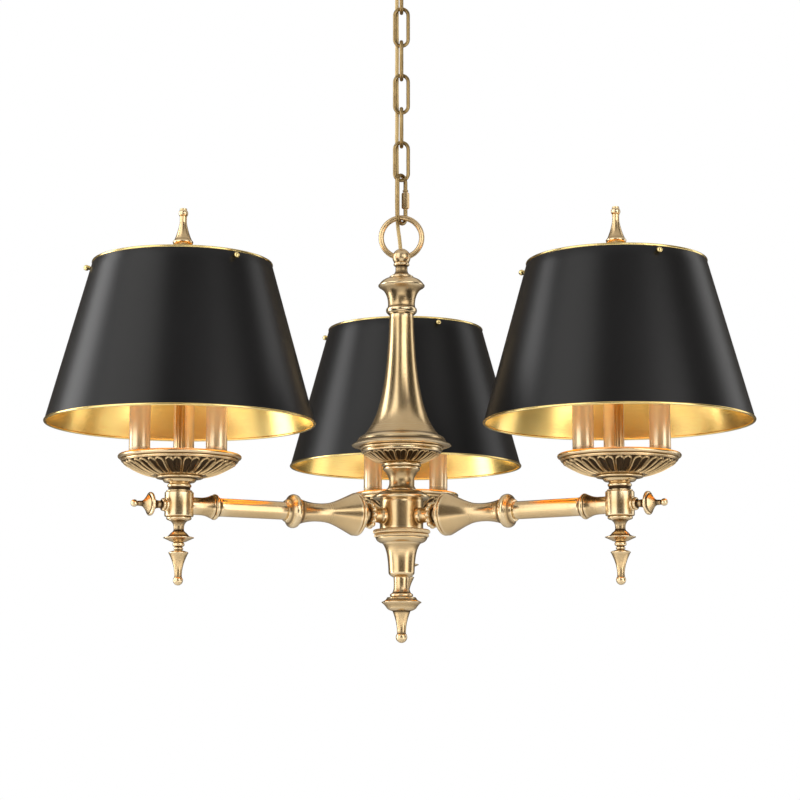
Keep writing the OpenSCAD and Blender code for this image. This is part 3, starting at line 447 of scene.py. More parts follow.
# turned metal: fine rings from the tool; darker in the grooves, which is painted shade together with the dark
# tarnish old brass keeps in its hollows; paler on the ridges
def metalFinish(name, look):
    finish, tree, shader = startFinish(name)
    link = tree.links.new
    place = put(tree, "ShaderNodeTexCoord").outputs["Object"]
    parts = put(tree, "ShaderNodeSeparateXYZ")
    link(place, parts.inputs[0])
    ringForm = {"Scale": look["rings"], "Detail": 3.0, "Roughness": 0.6}
    ringNoise = put(tree, "ShaderNodeTexNoise", ringForm, noise_dimensions="1D")
    link(parts.outputs[2], ringNoise.inputs["W"])
    rings = ringNoise.outputs[0]
    wide = noise(tree, place, look["cloud"])
    speck = noise(tree, place, look["speck"], 4.0, 0.65)
    groove = put(tree, "ShaderNodeAttribute", attribute_name="groove").outputs["Fac"]
    # painted shade in the grooves and hollows, together with their dark tarnish
    hollow = calc(tree, "MULTIPLY", calc(tree, "MAXIMUM", groove, 0.0), look["patinaAndShade"], True)
    raised = calc(tree, "MAXIMUM", calc(tree, "MULTIPLY", groove, -1.0), 0.0)
    ridge = calc(tree, "MULTIPLY", raised, look["rub"], True)
    tint = calc(tree, "MULTIPLY", ramp(tree, rings, 0.3, 0.75), look["ringTint"])
    spots = calc(tree, "MULTIPLY", ramp(tree, speck, 0.52, 0.75), look["spots"])
    tone = blendColour(tree, ramp(tree, wide, 0.35, 0.68), look["pale"], look["deep"])
    for amount, over in ((tint, "deep"), (spots, "dark"), (ridge, "bright"), (hollow, "dark")):
        tone = blendColour(tree, amount, tone, look[over])
    link(tone, shader.inputs["Base Color"])
    rough = varied(tree, rings, look["ringRough"], look["rough"])
    rough = calc(tree, "ADD", rough, calc(tree, "MULTIPLY", hollow, 0.22), True)
    link(rough, shader.inputs["Roughness"])
    height = calc(tree, "ADD", rings, calc(tree, "MULTIPLY", speck, 0.35))
    setBump(tree, shader, height, look["bump"], 0.0002)
    shader.inputs["Metallic"].default_value = look.get("metal", 1.0)
    if look["brushed"]:
        shader.inputs["Anisotropic"].default_value = look["brushed"]
        across = put(tree, "ShaderNodeTangent", direction_type="UV_MAP", uv_map="turning")
        link(across.outputs[0], shader.inputs["Tangent"])
    return finish


brassLook = {
    "pale": (0.76, 0.565, 0.32), "deep": (0.65, 0.46, 0.235),
    "dark": (0.04, 0.022, 0.01), "bright": (0.90, 0.74, 0.49),
    "rings": 900.0, "cloud": 22.0, "speck": 420.0, "patinaAndShade": 0.97, "rub": 0.6, "ringTint": 0.18,
    "spots": 0.08, "rough": 0.22, "ringRough": 0.05, "bump": 0.03, "brushed": 0.35,
}
antiqueBrass = metalFinish("antiqueBrass", brassLook)
castLook = {"brushed": 0.0, "rough": 0.28, "pale": (0.66, 0.48, 0.265), "deep": (0.56, 0.39, 0.195)}
castBrass = metalFinish("castBrass", dict(brassLook, **castLook))
wireLook = {"brushed": 0.0, "rings": 60.0, "speck": 160.0, "spots": 0.05, "rough": 0.28}
wireBrass = metalFinish("wireBrass", dict(brassLook, **wireLook))
chainBrass = metalFinish("chainBrass", {
    "pale": (0.40, 0.285, 0.13), "deep": (0.26, 0.175, 0.075),
    "dark": (0.06, 0.04, 0.02), "bright": (0.55, 0.42, 0.22),
    "rings": 120.0, "cloud": 60.0, "speck": 260.0, "patinaAndShade": 0.9, "rub": 0.4, "ringTint": 0.2,
    "spots": 0.2, "rough": 0.27, "ringRough": 0.08, "bump": 0.05, "brushed": 0.0,
})
candleGold = metalFinish("candleGold", {
    "pale": (1.0, 0.85, 0.60), "deep": (0.97, 0.76, 0.47),
    "dark": (0.20, 0.09, 0.025), "bright": (1.0, 0.88, 0.66),
    "rings": 2600.0, "cloud": 30.0, "speck": 600.0, "patinaAndShade": 0.8, "rub": 0.4, "ringTint": 0.06,
    "spots": 0.05, "rough": 0.22, "ringRough": 0.04, "bump": 0.012, "brushed": 0.3, "metal": 0.6,
})
goldLook = {
    "pale": (0.92, 0.73, 0.32), "deep": (0.84, 0.62, 0.23),
    "dark": (0.22, 0.14, 0.05), "bright": (0.95, 0.80, 0.46),
    "rings": 700.0, "cloud": 14.0, "speck": 500.0, "patinaAndShade": 0.7, "rub": 0.3, "ringTint": 0.3,
    "spots": 0.04, "rough": 0.17, "ringRough": 0.12, "bump": 0.08, "brushed": 0.5,
}
shadeGold = metalFinish("shadeGold", goldLook)
liningLook = {"rough": 0.16, "pale": (0.98, 0.74, 0.28), "deep": (0.96, 0.66, 0.19)}
liningGold = metalFinish("liningGold", dict(goldLook, **liningLook))
zincSteel = metalFinish("zincSteel", {
    "pale": (0.60, 0.60, 0.58), "deep": (0.50, 0.50, 0.49),
    "dark": (0.20, 0.20, 0.19), "bright": (0.75, 0.75, 0.73),
    "rings": 600.0, "cloud": 50.0, "speck": 300.0, "patinaAndShade": 0.6, "rub": 0.3, "ringTint": 0.2,
    "spots": 0.25, "rough": 0.3, "ringRough": 0.1, "bump": 0.1, "brushed": 0.0,
})


def paintFinish(name, look):
    finish, tree, shader = startFinish(name)
    place = put(tree, "ShaderNodeTexCoord").outputs["Object"]
    wide = noise(tree, place, look["cloud"])
    fine = noise(tree, place, look["grain"], 4.0, 0.6)
    tone = blendColour(tree, ramp(tree, wide, 0.3, 0.7), look["first"], look["second"])
    flecks = calc(tree, "MULTIPLY", ramp(tree, fine, 0.45, 0.8), look["mottle"])
    tree.links.new(blendColour(tree, flecks, tone, look["fleck"]), shader.inputs["Base Color"])
    tree.links.new(varied(tree, fine, look["roughVary"], look["rough"]), shader.inputs["Roughness"])
    setBump(tree, shader, fine, look["bump"], 0.0003)
    shader.inputs["Specular IOR Level"].default_value = look["gloss"]
    return finish


shadeBlack = paintFinish("shadeBlack", {
    "first": (0.004, 0.004, 0.0045), "second": (0.007, 0.007, 0.008), "fleck": (0.014, 0.014, 0.015),
    "mottle": 0.3, "cloud": 9.0, "grain": 1400.0,
    "rough": 0.29, "roughVary": 0.08, "bump": 0.05, "gloss": 0.3,
})
holderIvory = paintFinish("holderIvory", {
    "first": (0.80, 0.76, 0.66), "second": (0.72, 0.67, 0.56), "fleck": (0.62, 0.56, 0.45),
    "mottle": 0.3, "cloud": 80.0, "grain": 900.0,
    "rough": 0.4, "roughVary": 0.15, "bump": 0.05, "gloss": 0.5,
})


def cordFinish(name):
    finish, tree, shader = startFinish(name)
    place = put(tree, "ShaderNodeTexCoord").outputs["Object"]
    weaveForm = {"Scale": 260.0, "Distortion": 1.2, "Detail": 2.0}
    weaveWave = put(tree, "ShaderNodeTexWave", weaveForm, bands_direction="DIAGONAL")
    tree.links.new(place, weaveWave.inputs["Vector"])
    weave = weaveWave.outputs[0]
    wide = noise(tree, place, 40.0)
    tone = blendColour(tree, wide, (0.60, 0.42, 0.16), (0.78, 0.58, 0.26))
    tone = blendColour(tree, calc(tree, "MULTIPLY", weave, 0.35), tone, (0.36, 0.24, 0.08))
    tree.links.new(tone, shader.inputs["Base Color"])
    tree.links.new(varied(tree, wide, 0.15, 0.3), shader.inputs["Roughness"])
    setBump(tree, shader, weave, 0.3, 0.0003)
    return finish


def frostFinish(name):
    finish, tree, shader = startFinish(name)
    place = put(tree, "ShaderNodeTexCoord").outputs["Object"]
    wide, fine = noise(tree, place, 60.0, 2.0), noise(tree, place, 700.0)
    tone = blendColour(tree, wide, (0.93, 0.90, 0.84), (0.97, 0.95, 0.90))
    tree.links.new(tone, shader.inputs["Base Color"])
    tree.links.new(varied(tree, fine, 0.2, 0.25), shader.inputs["Roughness"])
    shader.inputs["Transmission Weight"].default_value = 0.35
    shader.inputs["IOR"].default_value = 1.45
    shader.inputs["Emission Color"].default_value = (1.0, 0.47, 0.12, 1)  # lit, as in the photo
    shader.inputs["Emission Strength"].default_value = 2.2
    return finish


cordSheath = cordFinish("cordSheath")
frostedGlass = frostFinish("frostedGlass")
print("finishes made")


def brassMesh(name, outline, bore, segments, crease=42, lift=None):
    return toMesh(name, turned(outline, bore, segments, lift=lift), antiqueBrass, crease)


# a turned piece of the column, standing where its node stands
def setTurned(name, outline, node, segments, bore=rodBore, crease=42, lift=None):
    mesh = brassMesh(name, outline, bore, segments, crease, lift)
    setBrass(name, mesh, node, shift(z=lowOf(node)))


def dress(node, finish):
    nodes[node].data.materials.clear()
    nodes[node].data.materials.append(finish)


# ceiling fitting
canopyCup = {"radius": 62, "depth": 28, "wall": 1.5, "step": 5, "crown": 18, "bore": 5.25}


def canopyOutline(c):
    r, z, wall, step, crown = c["radius"], -c["depth"], c["wall"], c["step"], c["crown"]
    outer = bend((crown, z), (crown + 20, z), (r - 8, z * 0.7), (r - 4, -step))
    inner = bend((r - 4 - wall, -step + wall), (r - 8 - wall, z * 0.7 + wall), (crown + 20, z + wall),
                 (crown + 3, z + wall))
    return (
        [(c["bore"], z)] + outer + [(r, -step), (r, 0), (r - wall, 0), (r - wall, -step + wall)]
        + inner + [(c["bore"], z + wall)]
    )


part = turned(canopyOutline(canopyCup), canopyCup["bore"], 128, closed=False)
mesh = toMesh("canopySpun", part, antiqueBrass)
setPiece("canopySpun", mesh, "ceiling_mount", "canopy")

loopCollar = {"radius": 10, "height": 14, "bore": 2.6, "eye": 13.5, "wire": 2.5}
collarFoot = -canopyCup["depth"] - loopCollar["height"]
eyeZ = lowOf("canopy_loop") + loopCollar["eye"] + loopCollar["wire"]


def loopPart(c):
    r, h = c["radius"], c["height"]
    outline = [(r - 2, 0), (r, 2)] + bead(r, h * 0.55, 4, 1.5) + [(r, h - 2), (r + 3, h)]
    eye = bar(circlePath(c["eye"], 72, upright=True), c["wire"], 20, True)
    return fused([moved(turned(outline, c["bore"], 64), shift(z=collarFoot)), moved(eye, shift(z=eyeZ))])


mesh = toMesh("canopyLoop", loopPart(loopCollar), antiqueBrass)
setPiece("canopyLoop", mesh, "ceiling_mount", "canopy_loop")
for node in ("ceiling_bracket", "canopy_nipple", "tie_rod", "arm_rods"):
    dress(node, zincSteel)
print("ceiling fitting made")


# chain
chainLink = {"count": 6, "length": 52, "width": 21, "wire": 2.25}
quickLink = {"length": 65, "width": 21.5, "wire": 2.5, "turn": 55, "sleeve": 19.5, "across": 4.8, "gap": 6}
threadForm = {"radius": 2.38, "wire": 0.16, "pitch": 0.5, "turns": 15, "steps": 24}


# all of a link but its right-hand leg
def linkPath(form, steps=22):
    r, leg = form["width"] / 2 - form["wire"], form["length"] - form["width"]
    path = []
    for i in range(steps + 1):
        k = math.pi * i / steps
        path.append((r * math.cos(k), 0, leg / 2 + r * math.sin(k)))
    for i in range(1, 6):
        path.append((-r, 0, leg / 2 - leg * i / 6))
    for i in range(steps + 1):
        k = math.pi + math.pi * i / steps
        path.append((r * math.cos(k), 0, -leg / 2 + r * math.sin(k)))
    return path, r, leg


def linkPart(c):
    path, legX, leg = linkPath(c)
    closing = [(legX, 0, -leg / 2 + leg * i / 6) for i in range(1, 6)]
    seam = bar([(legX, 0, z) for z in (-1.1, -0.5, 0.5, 1.1)], c["wire"] * 1.04, 18)  # weld
    return fused([bar(path + closing, c["wire"], 18, True), seam])


linkMesh = toMesh("chainLink", linkPart(chainLink), chainBrass)
linkNumbers = range(1, chainLink["count"] + 1)
for i in linkNumbers:
    node = f"chain_link_{i}"
    turn = 0 if (chainLink["count"] - i) % 2 == 0 else 90
    at = shift(z=midOf(node)) @ spin(turn)
    setPiece(f"chainLink_{i}", linkMesh, f"link_{i}", node, at)


def bowPart(q, t):
    path, legX, leg = linkPath(q)
    gapTop = q["sleeve"] / 2 - 1.5
    gapLow = gapTop - q["gap"]
    upper = [(legX, 0, gapTop), (legX, 0, (gapTop + leg / 2) / 2)]
    lower = [(legX, 0, -leg / 2 + (leg / 2 + gapLow) * i / 8) for i in range(1, 9)]
    stop = turned([(3.1, 0), (3.5, 0.5), (3.5, 1.5), (3.1, 2)], 1.0, 32)
    thread = []
    for i in range(t["turns"] * t["steps"]):  # screw thread under the sleeve
        k = 2 * math.pi * i / t["steps"]
        z = gapLow - 0.5 - t["pitch"] * i / t["steps"]
        thread.append((legX + t["radius"] * math.cos(k), t["radius"] * math.sin(k), z))
    stop = moved(stop, shift(legX, 0, q["sleeve"] / 2 + 1.5))
    return fused([bar(upper + path + lower, q["wire"], 20), stop, bar(thread, t["wire"], 6)])


def hexSleeve(q, segments=48):
    half, bore, across = q["sleeve"] / 2, q["wire"] + 0.08, q["across"]
    rows = [(bore, -half), (across * 0.84, -half), (across, -half + 1.1)]
    rows += [(r, -z) for r, z in rows[::-1]]
    count = len(rows)
    points, faces, uv = [], [], []
    for r, z in rows:
        for k in range(segments):
            turn = 2 * math.pi * k / segments
            flat = across * math.cos(math.pi / 6) / math.cos((turn % (math.pi / 3)) - math.pi / 6)
            rr = min(r, flat) if r > bore else r
            points.append((rr * math.cos(turn) * mm, rr * math.sin(turn) * mm, z * mm))
    for i in range(count):
        j = (i + 1) % count
        low, high = i / count, (i + 1) / count
        for k in range(segments):
            n = (k + 1) % segments
            u, w = k / segments, (k + 1) / segments
            faces.append([i * segments + k, i * segments + n, j * segments + n, j * segments + k])
            uv += [(u, low), (w, low), (w, high), (u, high)]
    return {"points": points, "faces": faces, "uv": uv, "groove": [0.0] * len(points)}


quickAt = shift(z=quickZ) @ spin(quickLink["turn"])
mesh = toMesh("quickLinkBow", bowPart(quickLink, threadForm), chainBrass)
setPiece("quickLinkBow", mesh, "quick_link", "quick_link", quickAt)
mesh = toMesh("quickLinkSleeve", hexSleeve(quickLink), wireBrass, 25)
sleeveAt = quickAt @ shift(quickLink["width"] / 2 - quickLink["wire"])
setPiece("quickLinkSleeve", mesh, "sleeve", "quick_link_sleeve", sleeveAt)

hangingRing = {"radius": 24.75, "wire": 3.25}
ringPath = circlePath(hangingRing["radius"], 96, upright=True)
mesh = toMesh("hangingRing", bar(ringPath, hangingRing["wire"], 28, True), wireBrass)
setPiece("hangingRing", mesh, "ring", "hanging_ring", shift(z=ringZ))
print("chain made")


# power cord: one length beside the chain, in a piece for each joint
powerCord = {
    "radius": 2.3, "end": 6, "overlap": 0.8, "bend": 12, "hang": 40, "stretch": 280,
    "route": [
        (-1.0, 4.6, -18.5), (-1.4, 5.4, -12), (-2.6, 6.4, 0), (-4.4, 6.6, 14), (-5.4, 6.4, 28),
        (-5.8, 6.0, 48), (-5.6, 6.0, 80), (-5.8, 5.8, 115), (-5.5, 5.9, 150), (-5.8, 5.8, 190),
        (-5.5, 5.9, 230), (-5.8, 5.8, 270), (-5.7, 5.9, 300),
    ],
}


def cordPoints(c):
    eyeLow, eyeHigh = eyeZ - loopCollar["eye"], eyeZ + loopCollar["eye"]
    bendIn = [(-5.8, 5.9, eyeLow - 2), (-5.4, 4.2, eyeLow + 9), (-2.4, 1.6, eyeHigh - 8)]
    top = [(0, 0, collarFoot - 1), (0, 0, collarFoot + loopCollar["height"] / 2 - 1)]
    bendZ = bendIn[0][2]
    stretch = (bendZ - ringZ - c["hang"]) / c["stretch"]
    hang = []
    for x, y, h in c["route"]:
        z = ringZ + (h if h < c["hang"] else c["hang"] + (h - c["hang"]) * stretch)
        if z < bendZ - 6:
            hang.append((x, y, z))
    knots = [Vector(p) for p in hang + bendIn + top]
    path = []
    for i in range(len(knots) - 1):
        p, q = knots[max(i - 1, 0)], knots[i]
        s, t = knots[i + 1], knots[min(i + 2, len(knots) - 1)]
        slope, dip, turn = s - p, 2 * p - 5 * q + 4 * s - t, 3 * q - p - 3 * s + t
        for n in range(10):
            k = n / 10
            path.append(0.5 * (2 * q + slope * k + dip * k * k + turn * k ** 3))
    return path + [knots[-1]]


cordLine = cordPoints(powerCord)
cordFoot = cordLine[0].z


def cordAt(z):
    for p, q in zip(cordLine, cordLine[1:]):
        if p.z <= z <= q.z:
            return p.lerp(q, (z - p.z) / (q.z - p.z))
    return cordLine[0] if z < cordFoot else cordLine[-1]


def cordMesh(name, low, high, radius=powerCord["radius"]):
    between = [p for p in cordLine if low + 0.3 < p.z < high - 0.3]
    return toMesh(name, bar([cordAt(low)] + between + [cordAt(high)], radius, 14), cordSheath, 60)


endTop = cordFoot + powerCord["end"]
mesh = cordMesh("powerCordEnd", cordFoot, endTop, powerCord["radius"] - 0.05)
setPiece("powerCordEnd", mesh, "frame", "power_cord")
mesh = cordMesh("powerCordFoot", endTop - powerCord["overlap"], ringZ)
setPiece("powerCordFoot", mesh, "ring", "power_cord")

cordBodies = ["ring", "quick_link"] + [f"link_{i}" for i in linkNumbers[::-1]] + ["ceiling_mount"]
middles = [ringZ, quickZ] + [midOf(f"chain_link_{i}") for i in linkNumbers[::-1]] + [cordLine[-1].z]
for i in range(len(cordBodies) - 1):
    name, low, high = f"powerCord_{i + 2}", middles[i], middles[i + 1]
    piece = bpy.data.objects.new(name, cordMesh(name, low, high))
    scene.collection.objects.link(piece)
    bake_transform(piece)
    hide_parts("power_cord")
print("power cord made:", round(lengthsAlong(cordLine)[-1]), "mm along the chain")


# column
hangerBall = {
    "height": 25.6, "ball": 11, "foot": 14.6, "neck": 7.3, "rodEnd": 8,
    "swing": 0.7, "cord": 2.9, "cordFrom": 4.25,
}


def hangerOutline(h):
    z, n, f = h["height"], h["neck"], h["foot"]
    return (
        [(f - 0.4, 0), (f, 0.4), (f, 1.8), (f - 0.5, 2.2), (f - 2.2, 2.5)]
        + bend((f - 2.7, 3.6), (n + 1, 4.6), (n, z - 17.5), (n, z - 15.5))
        + [(n, z - 11.2)] + bead(n + 0.6, z - 8.8, 4, 1.8, 14) + ball(h["ball"], z, -40, 90, 30)
    )


def hangerHoles(h):
    ringHole = bar(ringPath, hangingRing["wire"] + h["swing"], 28, True)
    cordHole = turned([(h["cord"], 0), (h["cord"], h["ball"])], 0.0, 32)
    rodHole = turned([(rodBore, -1), (rodBore, h["rodEnd"])], 0.0, 40)
    return [
        moved(ringHole, shift(z=h["height"] + hangingRing["radius"])),
        moved(cordHole, shift(*cordLine[0].xy, h["height"] + h["cordFrom"])),
        rodHole,
    ]


mesh = toMesh("hangerBall", turned(hangerOutline(hangerBall), 0.0, 96), castBrass)
setBrass("hangerBall", cutOut(mesh, hangerHoles(hangerBall)), "hanger_ball", shift(z=lowOf("hanger_ball")))

topVase = {"height": 45, "flange": 28.2, "waist": 15.8, "foot": 18.8, "seat": 14.6}


def vaseOutline(v):
    h, foot, flange = v["height"], v["height"] * 0.106, v["height"] * 0.77
    r, edge, waist, seat = v["foot"] - 2.2, v["flange"], v["waist"], v["seat"]
    return (
        [(r - 0.3, 0)] + bead(r, foot, foot * 1.5, 2.2) + [(r, foot * 1.9)]
        + bend((waist + 0.8, foot * 2), (waist, h * 0.287), (waist + 0.5, flange * 0.82),
               (edge - 1.5, flange - 1.5), 18)
        + [(edge, flange), (edge, flange + 1.5)]
        + bend((edge - 0.8, flange + 2), (edge - 3.5, h - 4), (seat + 6, h - 0.8), (seat, h))
    )


setTurned("topVase", vaseOutline(topVase), "top_vase", 128)

trumpetColumn = {
    "height": 165.4, "throat": 14.5, "mouth": 46, "band": 53.5, "flange": 60, "under": 50.5,
    "edgeZ": 5.2, "bandZ": 10, "mouthZ": 17,
}


def trumpetOutline(t):
    b, m, e = t["bandZ"], t["mouthZ"], t["edgeZ"]
    under, band, mouth, throat, f = t["under"], t["band"], t["mouth"], t["throat"], t["flange"]
    return (
        [(under - 3, 0)] + bead(under - 1.5, 1.8, 3, 1.5)
        + [(f - 6, e - 1.8), (f - 0.8, e - 0.8), (f, e), (f - 0.8, e + 0.8)]
        + bend((f - 1.2, e + 1), (band + 3, e + 2.6), (band + 0.5, b - 1.5), (band, b), 8)
        + bend((band - 0.5, b + 1), (band - 1, m - 3), (mouth + 3, m - 1), (mouth + 1, m - 0.5), 8)
        + bend((mouth, m), (throat + 10, 38), (throat + 2, 90), (throat, t["height"]), 40)
    )


setTurned("trumpetColumn", trumpetOutline(trumpetColumn), "trumpet", 160)

# flutes: petals with a raised border, a sunk field and a sunk gap between neighbours; the band is painted
# darker as shade, most in the fields and gaps, least on the borders
petalForm = {"count": 18, "samples": 32, "edge": 0.9, "roundFrom": 0.74, "roundTo": 0.94}


def petalLift(form, start, stop, depth, ridgeWidth):
    span = math.dist(start, stop)
    along = ((stop[0] - start[0]) / span, (stop[1] - start[1]) / span)
    pitch = 2 * math.pi / form["count"]

    def lift(r, z, turn):
        t = ((r - start[0]) * along[0] + (z - start[1]) * along[1]) / span
        off = abs((r - start[0]) * along[1] - (z - start[1]) * along[0])
        if t < 0 or t > 1 or off > 4 or r < start[0]:
            return 0.0, 0.0
        half = r * pitch / 2
        across = abs((turn / pitch) % 1 - 0.5) * 2 * half
        wide = (form["edge"] * half + ridgeWidth) / 2  # a petal is two lobes that share its middle rib
        x = abs(across - wide + ridgeWidth)
        inside = wide - x  # distance from the lobe's border, in mm
        if t > form["roundFrom"]:
            y, cap = (t - form["roundFrom"]) * span, (form["roundTo"] - form["roundFrom"]) * span
            q = max(1e-3, math.hypot(x / wide, y / cap))
            inside = (1 - q) * q / max(1e-6, math.hypot(x / wide ** 2, y / cap ** 2))
        fade = min(1.0, t / 0.06, (1 - t) / 0.02)
        ridge = math.exp(-((inside - ridgeWidth) / (ridgeWidth * 0.8)) ** 2)
        # dark: painted shade, deepest in the sunk field and the gap, lightest on the border ridge
        if inside > 0:
            sink = min(1.0, max(0.0, (inside - ridgeWidth) / ridgeWidth))
            height = ridge * 0.5 * depth - sink * 0.65 * depth
            dark = 0.35 + sink * 1.3 - ridge * 0.4
        else:
            out = min(1.0, -inside / (2 * ridgeWidth))
            out = out * out * (3 - 2 * out)
            height = ridge * 0.5 * depth - out * 0.55 * depth
            dark = 0.35 + out * 1.2 - ridge * 0.4
        return height * fade, dark * fade

    return lift


def flutedMesh(name, outline, form, start, stop):
    lift = petalLift(petalForm, start, stop, form["depth"], form["ridge"])
    return brassMesh(name, outline, rodBore, petalForm["count"] * petalForm["samples"], 70, lift)


flutedCollar = {"height": 16.4, "rim": 48.5, "foot": 22.5, "lip": 4, "depth": 1.6, "ridge": 0.55}


def collarMesh(c):
    h, foot, rim, edge = c["height"], c["foot"], c["rim"], c["height"] - c["lip"]
    bowl = bend((foot, 0.3), (foot + 9, 2.4), (rim - 9, edge - 5.2), (rim - 1.2, edge), 52)
    outline = [(foot - 1, 0)] + bowl + [(rim, edge + 0.8), (rim, h)]
    return flutedMesh("flutedCollar", outline, c, (foot + 2, 1.3), (rim - 1.4, edge - 0.2))


setBrass("flutedCollar", collarMesh(flutedCollar), "fluted_collar", shift(z=lowOf("fluted_collar")))

neckSpool = {"height": 32.7, "waist": 14.1, "foot": 18.7, "bead": 23.7, "beadH": 4.3, "low": 10.3}


def spoolOutline(s):
    foot, waist, low, edge, h = s["foot"], s["waist"] - 1, s["low"], s["bead"], s["beadH"]
    top = s["height"] - 2 * h
    return (
        [(foot, 0)] + bend((foot, 0.8), (waist, low * 0.5), (waist, low + 6), (edge - 3.2, top - 0.6), 20)
        + bead(edge - 2.4, top + h / 2, h - 0.6, 1.2) + bead(edge - 1.4, top + h * 1.5, h - 0.4, 1.4)
    )


setTurned("neckSpool", spoolOutline(neckSpool), "neck_spool", 112)
print("column made")


# hub
hubCap = {"height": 11.5, "bead": 34.4, "beadH": 4.6, "drum": 26, "top": 19.7}


def hubCapOutline(c):
    r, z, h, top = c["bead"], c["beadH"], c["height"], c["top"]
    return (
        [(c["drum"], 0)] + bead(r - 2.3, z / 2 + 1, z, 2.3, 14)
        + bend((r - 3.4, z + 1.4), (r - 6, h - 2), (top + 5, h - 1.2), (top, h), 10)
    )


def drumOutline(d):
    heights = [-d["below"]] + list(range(-12, 20, 4)) + [d["above"]]
    return [(d["radius"], z) for z in heights]


setTurned("hubCap", hubCapOutline(hubCap), "hub_cap", 128)
mesh = brassMesh("hubDrum", drumOutline(hubDrum), hubDrum["radius"] - hubDrum["wall"], 128)
setBrass("hubDrum", mesh, "hub_drum", shift(z=armZ))

hubBase = {
    "height": 16.5, "bead": 34, "foot": 24.4, "beadH": 4.2, "twistH": 5, "drum": 27, "step": 0.6,
    "twists": 56, "twistDepth": 0.8, "segments": 560,
}


# heights of the two rope beads' middles
def ropeMiddles(b):
    upper = b["height"] - b["step"] - b["twistH"] / 2
    return upper, upper - (b["twistH"] + b["beadH"]) / 2 - 0.2


def baseOutline(b):
    r, foot, drum = b["bead"], b["foot"], b["drum"]
    upper, lower = ropeMiddles(b)
    low = lower - b["beadH"] / 2 - 0.2
    return (
        [(foot, 0)] + bend((foot + 1.5, 0.4), (r - 7, 1), (r - 3.6, low * 0.4), (r - 3, low), 12)
        + bead(r - 3.4, lower, b["beadH"], 2, 14) + bead(r - 2.4, upper, b["twistH"], 2.4, 18)
        + [(drum, b["height"] - b["step"]), (drum, b["height"])]
    )


def ropeLift(r, z, turn):
    b = hubBase
    upper, lower = ropeMiddles(b)
    for middle, height, edge in ((upper, b["twistH"], 2.4), (lower, b["beadH"], 3.4)):
        reach = (z - middle) / (height / 2)
        if abs(reach) < 0.98 and r >= b["bead"] - edge:
            # the second value is painted shade in the troughs of the twist and leaves its crests paler
            wave = math.tanh(2 * math.sin(turn * b["twists"] + reach * 2.2))
            fade = 1 - reach * reach
            return b["twistDepth"] * (wave - 0.4) * fade, -1.1 * wave * fade
    return 0.0, 0.0


setTurned("hubBase", baseOutline(hubBase), "hub_base", hubBase["segments"], crease=60, lift=ropeLift)

bottomCup = {"height": 41.2, "foot": 15.5, "top": 23.4}


def cupOutline(c):
    r, h, low = c["foot"], c["height"], c["height"] * 0.13
    return (
        [(r - 6, 0)] + bend((r - 5, 0.4), (r - 2, low * 0.4), (r - 0.4, low * 0.6), (r, low), 8)
        + bend((r + 0.1, low + 1), (r + 0.8, h * 0.52), (r + 1.6, h * 0.84), (c["top"], h), 20)
    )


setTurned("bottomCup", cupOutline(bottomCup), "bottom_cup", 112)

bottomFinial = {"height": 77.6, "disc": 23.8, "ball": 6.8, "top": 8.9}


def finialOutline(f):
    h, d, b, top = f["height"], f["disc"], f["height"] * 0.625, f["top"]
    return (
        ball(f["ball"], f["ball"], -90, 40)
        + bend((5.3, f["ball"] + 5.5), (5.3, h * 0.28), (7.6, h * 0.38), (10.6, b - 11), 16)
        + [(d * 0.62, b - 9.5)]
        + bend((d * 0.72, b - 8), (d * 0.82, b - 4), (d * 0.9, b - 2.5), (d, b - 0.6), 8)
        + [(d, b)]
        + bend((d * 0.86, b + 1.5), (d * 0.76, b + 3), (d * 0.76, b + 4), (d * 0.72, b + 5.5), 8)
        + bead(d * 0.5, b + 8, 4, 2)
        + bend((d * 0.48, b + 10.5), (top + 0.2, b + 14), (top, b + 18), (top + 0.6, h), 14)
    )


setTurned("bottomFinial", finialOutline(bottomFinial), "bottom_finial", 96, 0.0)
print("hub made")


# arms
armRoot = {"neck": 8.3, "foot": 9.8, "end": 55.5, "band": 43, "beads": 12, "beadR": 3.7}


def rootPart(a):
    start, edge = hubDrum["radius"] - 3.2, hubDrum["radius"] + 2
    foot, neck, band, r, half = a["foot"], a["neck"], a["band"], a["neck"] + a["beadR"], a["beadR"] * 0.6
    outline = (
        [(foot, start), (foot, edge)]
        + bend((foot - 0.4, edge + 0.5), (neck, edge + 2), (neck, band - 6), (neck, band - half))
        + [(r, band - half), (r, band + half), (neck, band + half), (neck, a["end"])]
    )
    parts = [turned(outline, armBore, 72)]
    berry = turned(ball(a["beadR"], 0, -90, 90, 12), 0.0, 20)
    for k in range(a["beads"]):
        parts.append(moved(berry, spin(360 / a["beads"] * k) @ shift(r + a["beadR"] * 0.2, 0, band)))
    return fused(parts)


flaredSleeve = {"start": 50, "length": 104.7, "mouth": 25.4, "throat": 10.5, "collar": 19.8, "waist": 64}


def sleeveOutline(f):
    c, t = f["length"] - 10, f["waist"]
    m, n, k = f["mouth"], f["throat"], f["collar"]
    return (
        [(m - 6.4, 5), (m - 5, 5.8), (m - 5, 8.2)] + bead(m - 2.2, 10.6, 4, 2.2, 14) + [(m - 0.8, 13.2)]
        + bend((m, 14.6), (m - 5, 26), (n + 2.5, 40), (n + 1, t - 14), 24)
        + bend((n + 0.6, t - 11), (n - 0.5, t), (n + 0.5, t + 12), (k - 5, c - 8), 18)
        + [(k - 3.2, c - 6)]
        + bend((k - 0.8, c - 3.6), (k + 0.3, c - 1), (k + 0.3, c + 1), (k - 1, c + 3), 10)
        + [(k - 5, c + 6), (k - 6, c + 7.5), (tubeRadius + 2, f["length"])]
    )


armSocket = {"length": 33.5, "flare": 14.8, "end": 10}


